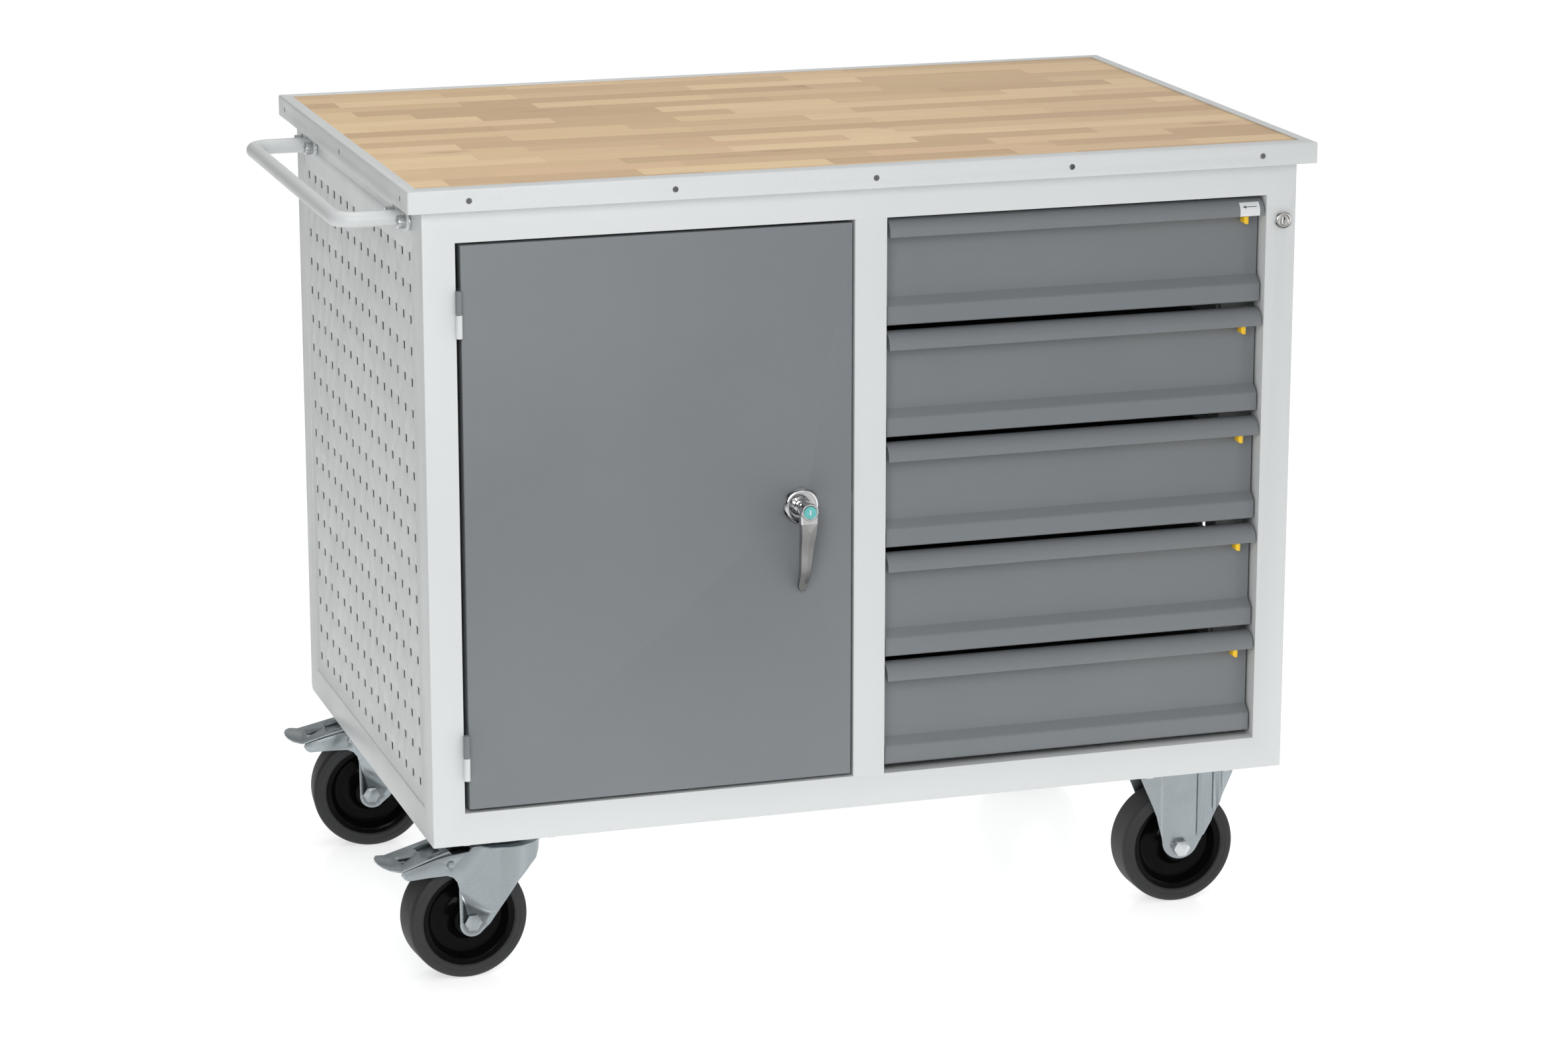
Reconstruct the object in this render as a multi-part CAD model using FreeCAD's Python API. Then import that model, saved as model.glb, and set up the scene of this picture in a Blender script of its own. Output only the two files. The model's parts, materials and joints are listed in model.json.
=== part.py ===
import FreeCAD, Part
import math
import os
from FreeCAD import Vector

os.makedirs("parts", exist_ok=True)

# Mobile workbench: a sheet steel cabinet on four casters, with a cupboard on the left, five
# equal drawers on the right, a steel edged oak worktop and a push handle on the left side.
#
# Everything is modelled in the cabinet's own frame, in millimetres: x to the right from the left
# side, y to the back from the front face, z up from the underside of the cabinet. write_node
# moves each node to the object's frame, whose origin is on the floor under the middle of the
# object's box.

# ------------------------------------------------------------------ driving dimensions
CAB_W = 1100.0            # cabinet width
CAB_D = 705.0             # cabinet depth
CAB_H = 775.0             # cabinet height, without casters and worktop
CASTER_H = 185.0          # floor to the underside of the cabinet

SHEET = 1.2               # general sheet steel
FRAME_SHEET = 1.5         # front frame and base sheet
GAP = 0.1                 # gap between sheets that lie side by side

DOOR_OPENING = (39.5, 529.5)
DRAWER_OPENING = (569.5, 1061.0)
OPENING_Z = (40.0, 735.5)
FRAME_RETURN = 30.0       # depth of the folds around both openings

TOP_OVER_SIDE = 19.7      # worktop overhang at each side
TOP_FRONT_Y = -17.5       # front and back faces of the worktop
TOP_BACK_Y = 724.0
TOP_T = 26.0              # worktop thickness
EDGE_WALL = 2.0           # wall of the worktop's steel edge
EDGE_LIP_SIDE = 15.0      # visible width of the steel edge at the sides and back
EDGE_LIP_FRONT = 24.0     # and at the front

HOLE_PITCH = 38.0         # perforation: 10 mm square holes on a 38 mm grid
HOLE_SIZE = 10.0
HOLE_COLUMNS = 16
HOLE_ROWS = 18
FIRST_HOLE_Y = 69.7
TOP_HOLE_Z = 709.5
FIELD_MARGIN = 26.0       # from the outer hole centres to the edge of the recessed field
FIELD_STEP = 1.2          # depth of the recess
BACK_CORNER_R = 10.0      # rounding of the side panels' lower back corners

DOOR_GAP = (6.0, 3.2, 4.5, 3.8)   # left, right, bottom and top gaps round the door
DOOR_FACE_Y = 0.5
DOOR_DEPTH = 20.0
HINGE_AXIS = (42.0, -4.3)
HINGE_R = 4.0
HINGE_PIN_R = 2.0
HINGE_HEIGHT = 28.0
HINGE_SPLITS = (651.0, 110.6)     # height where each hinge's two halves meet
HANDLE_AXIS = (461.5, 389.0)      # x and z of the door handle's spindle
KEY_R = 7.6                       # key plug in the door handle

DRAWER_COUNT = 5
DRAWER_PITCH = 138.3
FIRST_LIP_Z = 710.0       # underside of the top drawer's rolled lip
DRAWER_FRONT_X = (573.6, 1058.0)
DRAWER_RECESS = 22.0      # outer line of the recessed flat, behind the front face
DRAWER_BOX_X = (583.5, 1047.0)
DRAWER_BOX_Y = (22.2, 655.0)
DRAWER_BOX_H = 92.0
DRAWER_TRAVEL = 560.0

LOCK_AXIS = (1083.0, 703.5)

TUBE_R = 9.5              # push handle tube
TUBE_WALL = 2.0
HANDLE_REACH = 79.0       # side panel to the tube's centre line
HANDLE_Z = 752.5
HANDLE_LEGS_Y = (90.0, 615.0)
HANDLE_BEND = 25.0

WHEEL_R = 75.0
WHEEL_W = 50.0
TYRE_INNER_R = 58.0
AXLE_R = 6.0
TRAIL = 49.0              # swivel axis to wheel axle
FORK_HALF = 31.0          # outside of the fork's legs
LEG_T = 3.0
SWIVELS = {               # x, y of the swivel axis and the angle at which the caster stands
    "front_left": (100.0, 72.0, 5.0),
    "back_left": (100.0, 593.0, -6.5),
}
RIGIDS = {                # x, y of the plate centre
    "front_right": (985.0, 70.0),
    "back_right": (985.0, 593.0),
}
RIGID_AXLE_DX = -3.0      # wheel axle relative to the rigid caster's plate centre
RUN = 0.05                # radial clearance of a running fit

TOP_Z0 = CAB_H
TOP_Z1 = CAB_H + TOP_T
TOP_X = (-TOP_OVER_SIDE, CAB_W + TOP_OVER_SIDE)
PEDAL_PIVOT = (-73.6, -34.6)      # x, z in the caster's own frame
AXLE_Z = WHEEL_R - CASTER_H
KEY_FACE_Y = -38.5        # foremost point of the object: the door handle's key plug

# The object's box in x runs from the push handle to the right end of the worktop, and in y from
# the key plug to the back of the worktop.
BOX_MIN_X = -HANDLE_REACH - TUBE_R
ORIGIN = Vector((BOX_MIN_X + TOP_X[1]) / 2, (KEY_FACE_Y + TOP_BACK_Y) / 2, -CASTER_H)

X = Vector(1, 0, 0)
Y = Vector(0, 1, 0)
Z = Vector(0, 0, 1)


# ------------------------------------------------------------------ helpers
def write_node(name, *solids):
    """Move one node to the object's frame and write it: one solid, or separate solids."""
    shape = solids[0].copy() if len(solids) == 1 else Part.makeCompound(list(solids))
    shape.translate(ORIGIN * -1)
    shape.exportStep("parts/%s.step" % name)


def block(x0, x1, y0, y1, z0, z1):
    """A box between two x, two y and two z."""
    return Part.makeBox(x1 - x0, y1 - y0, z1 - z0, Vector(x0, y0, z0))


def rod(start, axis, radius, length):
    """A cylinder from a point along an axis."""
    return Part.makeCylinder(radius, length, Vector(*start), axis)


def pipe(start, axis, outer, inner, length):
    """A hollow cylinder."""
    return rod(start, axis, outer, length).cut(rod(start, axis, inner, length))


def prism(points, sweep):
    """A polygon's face swept along a vector."""
    corners = [Vector(*p) for p in points]
    return Part.Face(Part.makePolygon(corners + corners[:1])).extrude(sweep)


def hexagon(centre, axis, across_flats, height):
    """A hexagonal prism, as a bolt head or nut."""
    reach = across_flats / math.sqrt(3)
    side = Z.cross(axis) if abs(axis.z) < 0.5 else X
    up = axis.cross(side)
    turns = [math.radians(60 * n) for n in range(6)]
    points = [Vector(*centre) + side * (reach * math.cos(t)) + up * (reach * math.sin(t)) for t in turns]
    return Part.Face(Part.makePolygon(points + points[:1])).extrude(axis * height)


def join(shapes):
    """Fuse shapes into one solid and merge its coplanar faces."""
    return shapes[0].fuse(list(shapes[1:])).removeSplitter()


def slotted_sheet(origin, across, along, width, height, thickness, holes):
    """A flat sheet with rectangular holes: each hole is (centre across, centre along, half sizes)."""
    normal = across.cross(along)

    def loop(a0, a1, b0, b1):
        corners = [(a0, b0), (a1, b0), (a1, b1), (a0, b1), (a0, b0)]
        return Part.makePolygon([origin + across * a + along * b for a, b in corners])

    wires = [loop(0, width, 0, height)]
    wires += [loop(a - ha, a + ha, b - hb, b + hb) for a, b, ha, hb in holes]
    return Part.makeFace(wires, "Part::FaceMakerBullseye").extrude(normal * thickness)


def hollow_sheet_ring(x0, x1, y0, y1, z0, z1, sheet):
    """Four sheet walls around a rectangle in x and z, between y0 and y1, outside the rectangle."""
    outer = block(x0 - sheet, x1 + sheet, y0, y1, z0 - sheet, z1 + sheet)
    return outer.cut(block(x0, x1, y0 - 1, y1 + 1, z0, z1))


# ------------------------------------------------------------------ cabinet shell
def front_frame():
    """Folded sheet frame with the cupboard and drawer openings and the lock's hole."""
    face = block(0, CAB_W, 0, FRAME_SHEET, 0, CAB_H)
    corners = [e for e in face.Edges if abs(e.Length - CAB_H) < 1e-6 and e.CenterOfMass.y < 0.1]
    face = face.makeFillet(FRAME_SHEET * 0.9, corners)
    z0, z1 = OPENING_Z
    folds = []
    for x0, x1 in (DOOR_OPENING, DRAWER_OPENING):
        face = face.cut(block(x0, x1, -1, 5, z0, z1))
        folds.append(hollow_sheet_ring(x0, x1, FRAME_SHEET / 2, FRAME_RETURN, z0, z1, FRAME_SHEET))
    side_fold = 40.0
    inside = SHEET + FIELD_STEP + GAP
    for x0 in (inside, CAB_W - inside - FRAME_SHEET):
        folds.append(block(x0, x0 + FRAME_SHEET, FRAME_SHEET / 2, side_fold, 2, CAB_H - 2))
    frame = join([face] + folds)
    x, z = LOCK_AXIS
    return frame.cut(rod((x, -2, z), Y, 9.2, 6))


def perforated_side(screw_places):
    """A left side panel: recessed perforated field, flush margins and folds to the inside."""
    y0 = FRAME_SHEET
    field_y0 = FIRST_HOLE_Y - FIELD_MARGIN
    field_y1 = FIRST_HOLE_Y + (HOLE_COLUMNS - 1) * HOLE_PITCH + FIELD_MARGIN
    field_z1 = TOP_HOLE_Z + FIELD_MARGIN
    field_z0 = TOP_HOLE_Z - (HOLE_ROWS - 1) * HOLE_PITCH - FIELD_MARGIN
    margin = block(0, SHEET, y0, CAB_D, 0, CAB_H)
    margin = margin.cut(block(-1, 2, field_y0, field_y1, field_z0, field_z1))
    for y in screw_places:
        margin = margin.cut(rod((-1, y, HANDLE_Z), X, 5.3, 4))
    half = HOLE_SIZE / 2
    holes = []
    for column in range(HOLE_COLUMNS):
        for row in range(HOLE_ROWS):
            a = FIRST_HOLE_Y + column * HOLE_PITCH - field_y0 + SHEET
            b = TOP_HOLE_Z - row * HOLE_PITCH - field_z0 + SHEET
            holes.append((a, b, half, half))
    field = slotted_sheet(
        Vector(FIELD_STEP, field_y0 - SHEET, field_z0 - SHEET), Y, Z,
        field_y1 - field_y0 + 2 * SHEET, field_z1 - field_z0 + 2 * SHEET, SHEET, holes)
    fold = 22.0
    folds = [
        block(0, fold, y0, CAB_D, CAB_H - SHEET, CAB_H),
        block(0, fold, CAB_D - SHEET, CAB_D, 0, CAB_H),
    ]
    r = BACK_CORNER_R
    corner = block(-1, fold + 1, CAB_D - r, CAB_D + 1, -1, r).cut(rod((-2, CAB_D - r, r), X, r, fold + 4))
    return join([margin, field] + folds).cut(corner)


def back_panel():
    """Plain back sheet with two pressed stiffening ribs."""
    y1 = CAB_D - SHEET - GAP
    sheet = block(3, CAB_W - 3, y1 - SHEET, y1, 3, CAB_H - 3)
    ribs = []
    rib_w, rib_d = 24.0, 4.0
    for x in (CAB_W * 0.27, CAB_W * 0.73):
        outline = [(x - rib_w, y1 - SHEET, 60), (x - rib_w / 2, y1 - rib_d, 60),
                   (x + rib_w / 2, y1 - rib_d, 60), (x + rib_w, y1 - SHEET, 60)]
        ribs.append(prism(outline, Z * (CAB_H - 120)))
    return join([sheet] + ribs)


def base_pan():
    """C-folded base: the caster plates bolt to its bottom sheet, its top sheet is the floor."""
    x0, x1 = 4.5, CAB_W - 4.5
    y0, y1 = FRAME_SHEET + GAP, CAB_D - 3
    z1 = OPENING_Z[0] - FRAME_SHEET - GAP
    pan = join([
        block(x0, x1, y0, y1, 0, FRAME_SHEET),
        block(x0, x1, y0, y0 + FRAME_SHEET, 0, z1),
        block(x0, x1, y0, y1, z1 - FRAME_SHEET, z1),
    ])
    holes = [rod((x, y, -2), Z, 4.4, 6) for x, y in caster_bolt_places()]
    return pan.cut(holes)


def divider_panel():
    """Wall between the cupboard and the drawers, behind the middle stile."""
    x = (DOOR_OPENING[1] + DRAWER_OPENING[0]) / 2
    z0 = OPENING_Z[0] - FRAME_SHEET
    y0, y1 = FRAME_SHEET + GAP, CAB_D - 3
    return join([
        block(x - SHEET / 2, x + SHEET / 2, y0, y1, z0, CAB_H - 2),
        block(x - SHEET / 2, x + 18, y0 + FRAME_RETURN, y1, CAB_H - 2 - SHEET, CAB_H - 2),
    ])


POST_W = 25.0
POST_Y = (133.5, 551.5)
POST_SHEET = 1.5
POST_Z = (OPENING_Z[0] - FRAME_SHEET, CAB_H - 4)
SLOT_Z = [POST_Z[0] + 30 + 38 * n for n in range(18)]
SHELF_HOOK_Z = SLOT_Z[8]
SHELF_Z = SHELF_HOOK_Z + 19.5


def slotted_posts():
    """Eight slotted uprights: four carry the shelf, four carry the drawer rails."""
    wall_x = (DOOR_OPENING[1] + DRAWER_OPENING[0]) / 2
    inner_left = SHEET + FIELD_STEP + GAP
    inner_right = CAB_W - inner_left
    half = SHEET / 2 + GAP
    runs = [                       # wall side and bay side of each post, in x
        (inner_left, 18.0),
        (wall_x - half, 533.0),
        (wall_x + half, 570.0),
        (inner_right, 1060.5),
    ]
    z0, z1 = POST_Z
    slots = [(POST_W / 2, z - z0, 4.0, 7.0) for z in SLOT_Z]
    posts = []
    for wall, bay in runs:
        low, high = min(wall, bay), max(wall, bay)
        web_x = bay - POST_SHEET if bay > wall else bay
        for y in POST_Y:
            web = slotted_sheet(Vector(web_x, y, z0), Y, Z, POST_W, z1 - z0, POST_SHEET, slots)
            posts.append(join([
                web,
                block(low, high, y, y + POST_SHEET, z0, z1),
                block(low, high, y + POST_W - POST_SHEET, y + POST_W, z0, z1),
            ]))
    return posts


def cupboard_shelf():
    """Adjustable shelf: a sheet folded down on all sides, with four hooks in the posts' slots."""
    x0, x1 = 18.6, 532.4
    y0, y1 = 60.0, 690.0
    fold = 24.0
    tray = block(x0, x1, y0, y1, SHELF_Z - fold, SHELF_Z)
    inside = block(x0 + SHEET, x1 - SHEET, y0 + SHEET, y1 - SHEET, SHELF_Z - fold - 1, SHELF_Z - SHEET)
    parts = [tray.cut(inside)]
    for y in POST_Y:
        middle = y + POST_W / 2
        for a, b in ((x0 - 1.8, x0 + SHEET), (x1 - SHEET, x1 + 1.8)):
            parts.append(block(a, b, middle - 3, middle + 3, SHELF_HOOK_Z - 4, SHELF_HOOK_Z + 4))
    return join(parts)


# ------------------------------------------------------------------ worktop
def edge_screw_places():
    """Position and inward direction of each worktop edge screw."""
    z = TOP_Z0 + 12.5
    middle_x = CAB_W / 2
    middle_y = (TOP_FRONT_Y + TOP_BACK_Y) / 2
    places = []
    for n in (-2, -1, 0, 1, 2):
        x = middle_x + n * 248.4
        places.append(((x, TOP_FRONT_Y, z), Y))
        places.append(((x, TOP_BACK_Y, z), Y * -1))
    for n in (-1, 0, 1):
        y = middle_y + n * 331
        places.append(((TOP_X[0], y, z), X))
        places.append(((TOP_X[1], y, z), X * -1))
    return places


def worktop_edge_frame():
    """Steel tray round the board: wall, top lip and bottom lip, rounded at its outer edges."""
    shell = block(TOP_X[0], TOP_X[1], TOP_FRONT_Y, TOP_BACK_Y, TOP_Z0, TOP_Z1)
    rounded = [e for e in shell.Edges if e.CenterOfMass.z > TOP_Z1 - 0.1]
    rounded += [e for e in shell.Edges if abs(e.Length - TOP_T) < 1e-6]
    shell = shell.makeFillet(2.5, rounded)
    lip = 1.5
    cavity = block(TOP_X[0] + EDGE_WALL, TOP_X[1] - EDGE_WALL, TOP_FRONT_Y + EDGE_WALL,
                   TOP_BACK_Y - EDGE_WALL, TOP_Z0 + lip, TOP_Z1 - lip)
    window = block(TOP_X[0] + EDGE_LIP_SIDE, TOP_X[1] - EDGE_LIP_SIDE, TOP_FRONT_Y + EDGE_LIP_FRONT,
                   TOP_BACK_Y - EDGE_LIP_SIDE, TOP_Z1 - 5, TOP_Z1 + 1)
    below = block(TOP_X[0] + 60, TOP_X[1] - 60, TOP_FRONT_Y + 60, TOP_BACK_Y - 60, TOP_Z0 - 1, TOP_Z0 + 5)
    frame = shell.cut([cavity, window, below])
    sinks = []
    for place, axis in edge_screw_places():
        sinks.append(Part.makeCone(3.7, 2.1, 1.6, Vector(*place), axis))
        sinks.append(rod(place, axis, 2.1, 4))
    return frame.cut(sinks)


def worktop_board():
    """Laminated oak board that fills the tray."""
    clear = EDGE_WALL + 0.2
    board = block(TOP_X[0] + clear, TOP_X[1] - clear, TOP_FRONT_Y + clear, TOP_BACK_Y - clear,
                  TOP_Z0 + 1.6, TOP_Z1 - 1.6)
    pilots = [rod(place, axis, 2.05, 22) for place, axis in edge_screw_places()]
    return board.cut(pilots)


def edge_screws():
    """Countersunk screws that hold the steel edge to the board."""
    screws = []
    for place, axis in edge_screw_places():
        head = Part.makeCone(3.6, 2.0, 1.6, Vector(*place), axis)
        shank = rod(place, axis, 2.0, 18)
        screw = join([head, shank])
        side = Z.cross(axis)
        base = Vector(*place)
        for u, v in ((side, Z), (Z, side)):
            corner = base - u * 2.2 - v * 0.45
            points = [corner, corner + u * 4.4, corner + u * 4.4 + v * 0.9, corner + v * 0.9]
            screw = screw.cut(prism([tuple(p) for p in points], axis * 1.1))
        screws.append(screw)
    return screws


# ------------------------------------------------------------------ push handle
FLANGE_X = (-5.5, -2.5)
SCREW_OFFSET = 30.0


def handle_screw_places():
    """The y of the four push handle screws."""
    return [y + side * SCREW_OFFSET for y in HANDLE_LEGS_Y for side in (-1, 1)]


def handle_path(x_start):
    """Centre line of the tube: out along one leg, round a bend, across, and back."""
    z = HANDLE_Z
    out = -HANDLE_REACH
    r = HANDLE_BEND
    s = r * (1 - math.sqrt(0.5))
    y0, y1 = HANDLE_LEGS_Y
    edges = [
        Part.LineSegment(Vector(x_start, y0, z), Vector(out + r, y0, z)),
        Part.Arc(Vector(out + r, y0, z), Vector(out + s, y0 + s, z), Vector(out, y0 + r, z)),
        Part.LineSegment(Vector(out, y0 + r, z), Vector(out, y1 - r, z)),
        Part.Arc(Vector(out, y1 - r, z), Vector(out + s, y1 - s, z), Vector(out + r, y1, z)),
        Part.LineSegment(Vector(out + r, y1, z), Vector(x_start, y1, z)),
    ]
    return Part.Wire([e.toShape() for e in edges])


def swept_circle(path, start, radius):
    ring = Part.Wire(Part.Circle(start, X, radius).toShape())
    return path.makePipeShell([ring], True, False)


def push_handle():
    """Bent tube welded to two flange plates."""
    start = Vector(FLANGE_X[1], HANDLE_LEGS_Y[0], HANDLE_Z)
    path = handle_path(FLANGE_X[1])
    tube = swept_circle(path, start, TUBE_R)
    bore = swept_circle(path, start, TUBE_R - TUBE_WALL)
    half = 11.0
    flanges = []
    for y in HANDLE_LEGS_Y:
        plate = block(FLANGE_X[0], FLANGE_X[1], y - SCREW_OFFSET, y + SCREW_OFFSET,
                      HANDLE_Z - half, HANDLE_Z + half)
        ends = [rod((FLANGE_X[0], y + side * SCREW_OFFSET, HANDLE_Z), X, half, 3) for side in (-1, 1)]
        flanges.append(join([plate] + ends))
    body = join([tube] + flanges).cut(bore)
    holes = [rod((FLANGE_X[0] - 1, y, HANDLE_Z), X, 5.3, 6) for y in handle_screw_places()]
    return body.cut(holes)


def push_handle_screws():
    """Socket head screws, spacer washers and nuts that fasten the push handle."""
    parts = []
    for y in handle_screw_places():
        head_x = FLANGE_X[0] - 10
        head = rod((head_x, y, HANDLE_Z), X, 8, 10)
        head = head.makeChamfer(0.8, [e for e in head.Edges if abs(e.CenterOfMass.x - head_x) < 0.1])
        shank = rod((FLANGE_X[0] - 1, y, HANDLE_Z), X, 5, 20)
        screw = join([head, shank]).cut(hexagon((head_x - 1, y, HANDLE_Z), X, 8, 6))
        washer = pipe((FLANGE_X[1], y, HANDLE_Z), X, 10, 5.2, -FLANGE_X[1])
        nut = hexagon((SHEET, y, HANDLE_Z), X, 16, 8).cut(rod((0, y, HANDLE_Z), X, 5.05, 12))
        nut.rotate(Vector(SHEET, y, HANDLE_Z), X, 30)
        parts += [screw, washer, nut]
    return parts


# ------------------------------------------------------------------ door
def door_edges():
    """Left, right, bottom and top of the door leaf."""
    left, right, bottom, top = DOOR_GAP
    return DOOR_OPENING[0] + left, DOOR_OPENING[1] - right, OPENING_Z[0] + bottom, OPENING_Z[1] - top


def door_leaf():
    """Folded door pan, with the spindle's hole and the latch's slot in its right edge."""
    x0, x1, z0, z1 = door_edges()
    y0, y1 = DOOR_FACE_Y, DOOR_FACE_Y + DOOR_DEPTH
    pan = block(x0, x1, y0, y1, z0, z1)
    upright = [e for e in pan.Edges if abs(e.Length - (z1 - z0)) < 1e-6 and e.CenterOfMass.y < y0 + 0.1]
    pan = pan.makeFillet(1.4, upright)
    hollow = block(x0 + SHEET, x1 - SHEET, y0 + SHEET, y1 - SHEET, z0 + SHEET, z1 - SHEET)
    rim = 16.0
    mouth = block(x0 + rim, x1 - rim, y1 - 3, y1 + 1, z0 + rim, z1 - rim)
    hx, hz = HANDLE_AXIS
    spindle_hole = rod((hx, -1, hz), Y, 9, 5)
    slot = block(x1 - 3, x1 + 1, LATCH_Y[0] - 1, LATCH_Y[1] + 1, hz - 12, hz + 28)
    return pan.cut([hollow, mouth, spindle_hole, slot])


LATCH_Y = (6.0, 9.0)
LATCH_REACH = 66.5
ROSETTE_R = 22.0


def handle_rosette():
    """Domed round rose under the door handle."""
    hx, hz = HANDLE_AXIS
    rose = rod((hx, DOOR_FACE_Y - 6, hz), Y, ROSETTE_R, 6)
    front = [e for e in rose.Edges if e.CenterOfMass.y < DOOR_FACE_Y - 5]
    rose = rose.makeFillet(4.5, front)
    return rose.cut(rod((hx, -10, hz), Y, 8.0 + RUN, 12))


def lever_section(depth_front, thickness, width, drop):
    """One cross-section of the lever: an octagon in a level plane below the spindle."""
    hx, hz = HANDLE_AXIS
    w, c = width / 2, min(width, thickness) * 0.28
    y0, y1 = -depth_front, -depth_front + thickness
    outline = [(-w, y0 + c), (-w + c, y0), (w - c, y0), (w, y0 + c),
               (w, y1 - c), (w - c, y1), (-w + c, y1), (-w, y1 - c)]
    points = [Vector(hx + x, y, hz - drop) for x, y in outline]
    return Part.makePolygon(points + points[:1])


def handle_lever():
    """Door lever: round head on a collar, and an arm that curves back towards the door."""
    hx, hz = HANDLE_AXIS
    head = rod((hx, -37, hz), Y, 11, 13)
    collar = rod((hx, -25, hz), Y, 8.0, 25 + DOOR_FACE_Y)
    sections = [                # depth in front of the door, thickness, width, drop below the axis
        (36.8, 11.0, 21.6, 2.0),
        (35.8, 11.0, 21.0, 26.0),
        (31.5, 10.0, 18.8, 41.0),
        (26.0, 9.5, 15.6, 68.0),
        (19.5, 9.0, 14.6, 86.0),
        (12.5, 8.0, 13.4, 97.0),
        (8.5, 5.5, 10.0, 104.5),
    ]
    arm = Part.makeLoft([lever_section(*s) for s in sections], True, False)
    lever = head.fuse([collar, arm])
    return lever.cut(rod((hx, -40, hz), Y, KEY_R + RUN, 12))


def handle_key_plug():
    """Key plug in the middle of the lever's head."""
    hx, hz = HANDLE_AXIS
    plug = rod((hx, KEY_FACE_Y, hz), Y, KEY_R, 10)
    return plug.cut(block(hx - 0.9, hx + 0.9, KEY_FACE_Y - 1, KEY_FACE_Y + 4, hz - 3, hz + 3))


def latch_cam():
    """Spindle and latch cam behind the door's face: the cam's end lies in the door gap."""
    hx, hz = HANDLE_AXIS
    y0, y1 = LATCH_Y
    spindle = rod((hx, DOOR_FACE_Y, hz), Y, 7.5, y1 + 5 - DOOR_FACE_Y)
    cam = block(hx, hx + LATCH_REACH, y0, y1, hz - 10, hz + 10)
    return join([spindle, cam])


def hinge_parts():
    """Lift-off hinges: door halves above, frame halves below, and a pin through each pair."""
    x, y = HINGE_AXIS
    door_halves, frame_halves, pins = [], [], []
    tab_back = 16.0
    door_left = door_edges()[0]
    for split in HINGE_SPLITS:
        upper = rod((x, y, split + 0.2), Z, HINGE_R, HINGE_HEIGHT)
        tab = block(door_left - 1.3, door_left - 0.05, y, tab_back, split + 0.2, split + 0.2 + HINGE_HEIGHT)
        bore = rod((x, y, split - 1), Z, HINGE_PIN_R + RUN, HINGE_HEIGHT - 1)
        door_halves.append(join([upper, tab]).cut(bore))
        lower = rod((x, y, split - 0.2 - HINGE_HEIGHT), Z, HINGE_R, HINGE_HEIGHT)
        tab_x = DOOR_OPENING[0] + 0.05
        tab = block(tab_x, tab_x + 1.25, y, tab_back, split - 0.2 - HINGE_HEIGHT, split - 0.2)
        bore = rod((x, y, split - 0.2 - HINGE_HEIGHT), Z, HINGE_PIN_R, HINGE_HEIGHT)
        frame_halves.append(join([lower, tab]).cut(bore))
        pins.append(rod((x, y, split - 0.2 - HINGE_HEIGHT), Z, HINGE_PIN_R, 2 * HINGE_HEIGHT - 4))
    return door_halves, frame_halves, pins


# ------------------------------------------------------------------ drawers
def lip_z(index):
    """Underside of a drawer's lip, the top drawer being number 1."""
    return FIRST_LIP_Z - (index - 1) * DRAWER_PITCH


FRONT_BELOW_LIP = 109.0
BOX_BELOW_LIP = 104.0
RAIL_DROP = 68.0
RAIL_HALF = 22.5
RAIL_Y = (36.0, 686.0)


def drawer_front(z):
    """Folded front: rolled lip, recessed flat, bevel and lower step, closed at the lip's ends."""
    x0, x1 = DRAWER_FRONT_X
    back = DRAWER_RECESS
    step = 10.5
    bottom = z - FRONT_BELOW_LIP + FRAME_SHEET
    line = [
        Part.LineSegment(Vector(x0, 2.8, z), Vector(x0, 0, z)),
        Part.LineSegment(Vector(x0, 0, z), Vector(x0, 0, z + 8)),
        Part.Arc(Vector(x0, 0, z + 8), Vector(x0, 6.5, z + 17.2), Vector(x0, back, z + 21)),
        Part.LineSegment(Vector(x0, back, z + 21), Vector(x0, back, z - 76.5)),
        Part.LineSegment(Vector(x0, back, z - 76.5), Vector(x0, step, z - 87)),
        Part.LineSegment(Vector(x0, step, z - 87), Vector(x0, step, bottom)),
        Part.LineSegment(Vector(x0, step, bottom), Vector(x0, back + 6, bottom)),
    ]
    outline = Part.Wire([edge.toShape() for edge in line])
    inward = outline.makeOffset2D(FRAME_SHEET, 2, True, True, False)
    if inward.BoundBox.YMin < -0.5:
        inward = outline.makeOffset2D(-FRAME_SHEET, 2, True, True, False)
    sheet = inward.extrude(X * (x1 - x0))
    cap_line = [
        Part.LineSegment(Vector(x0, 0.1, z), Vector(x0, 0.1, z + 8)),
        Part.Arc(Vector(x0, 0.1, z + 8), Vector(x0, 6.6, z + 17.1), Vector(x0, back, z + 20.9)),
        Part.LineSegment(Vector(x0, back, z + 20.9), Vector(x0, back, z)),
        Part.LineSegment(Vector(x0, back, z), Vector(x0, 0.1, z)),
    ]
    cap_face = Part.Face(Part.Wire([edge.toShape() for edge in cap_line]))
    left = cap_face.extrude(X * SHEET)
    right = left.copy()
    right.translate(X * (x1 - x0 - SHEET))
    return join([sheet, left, right])


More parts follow.
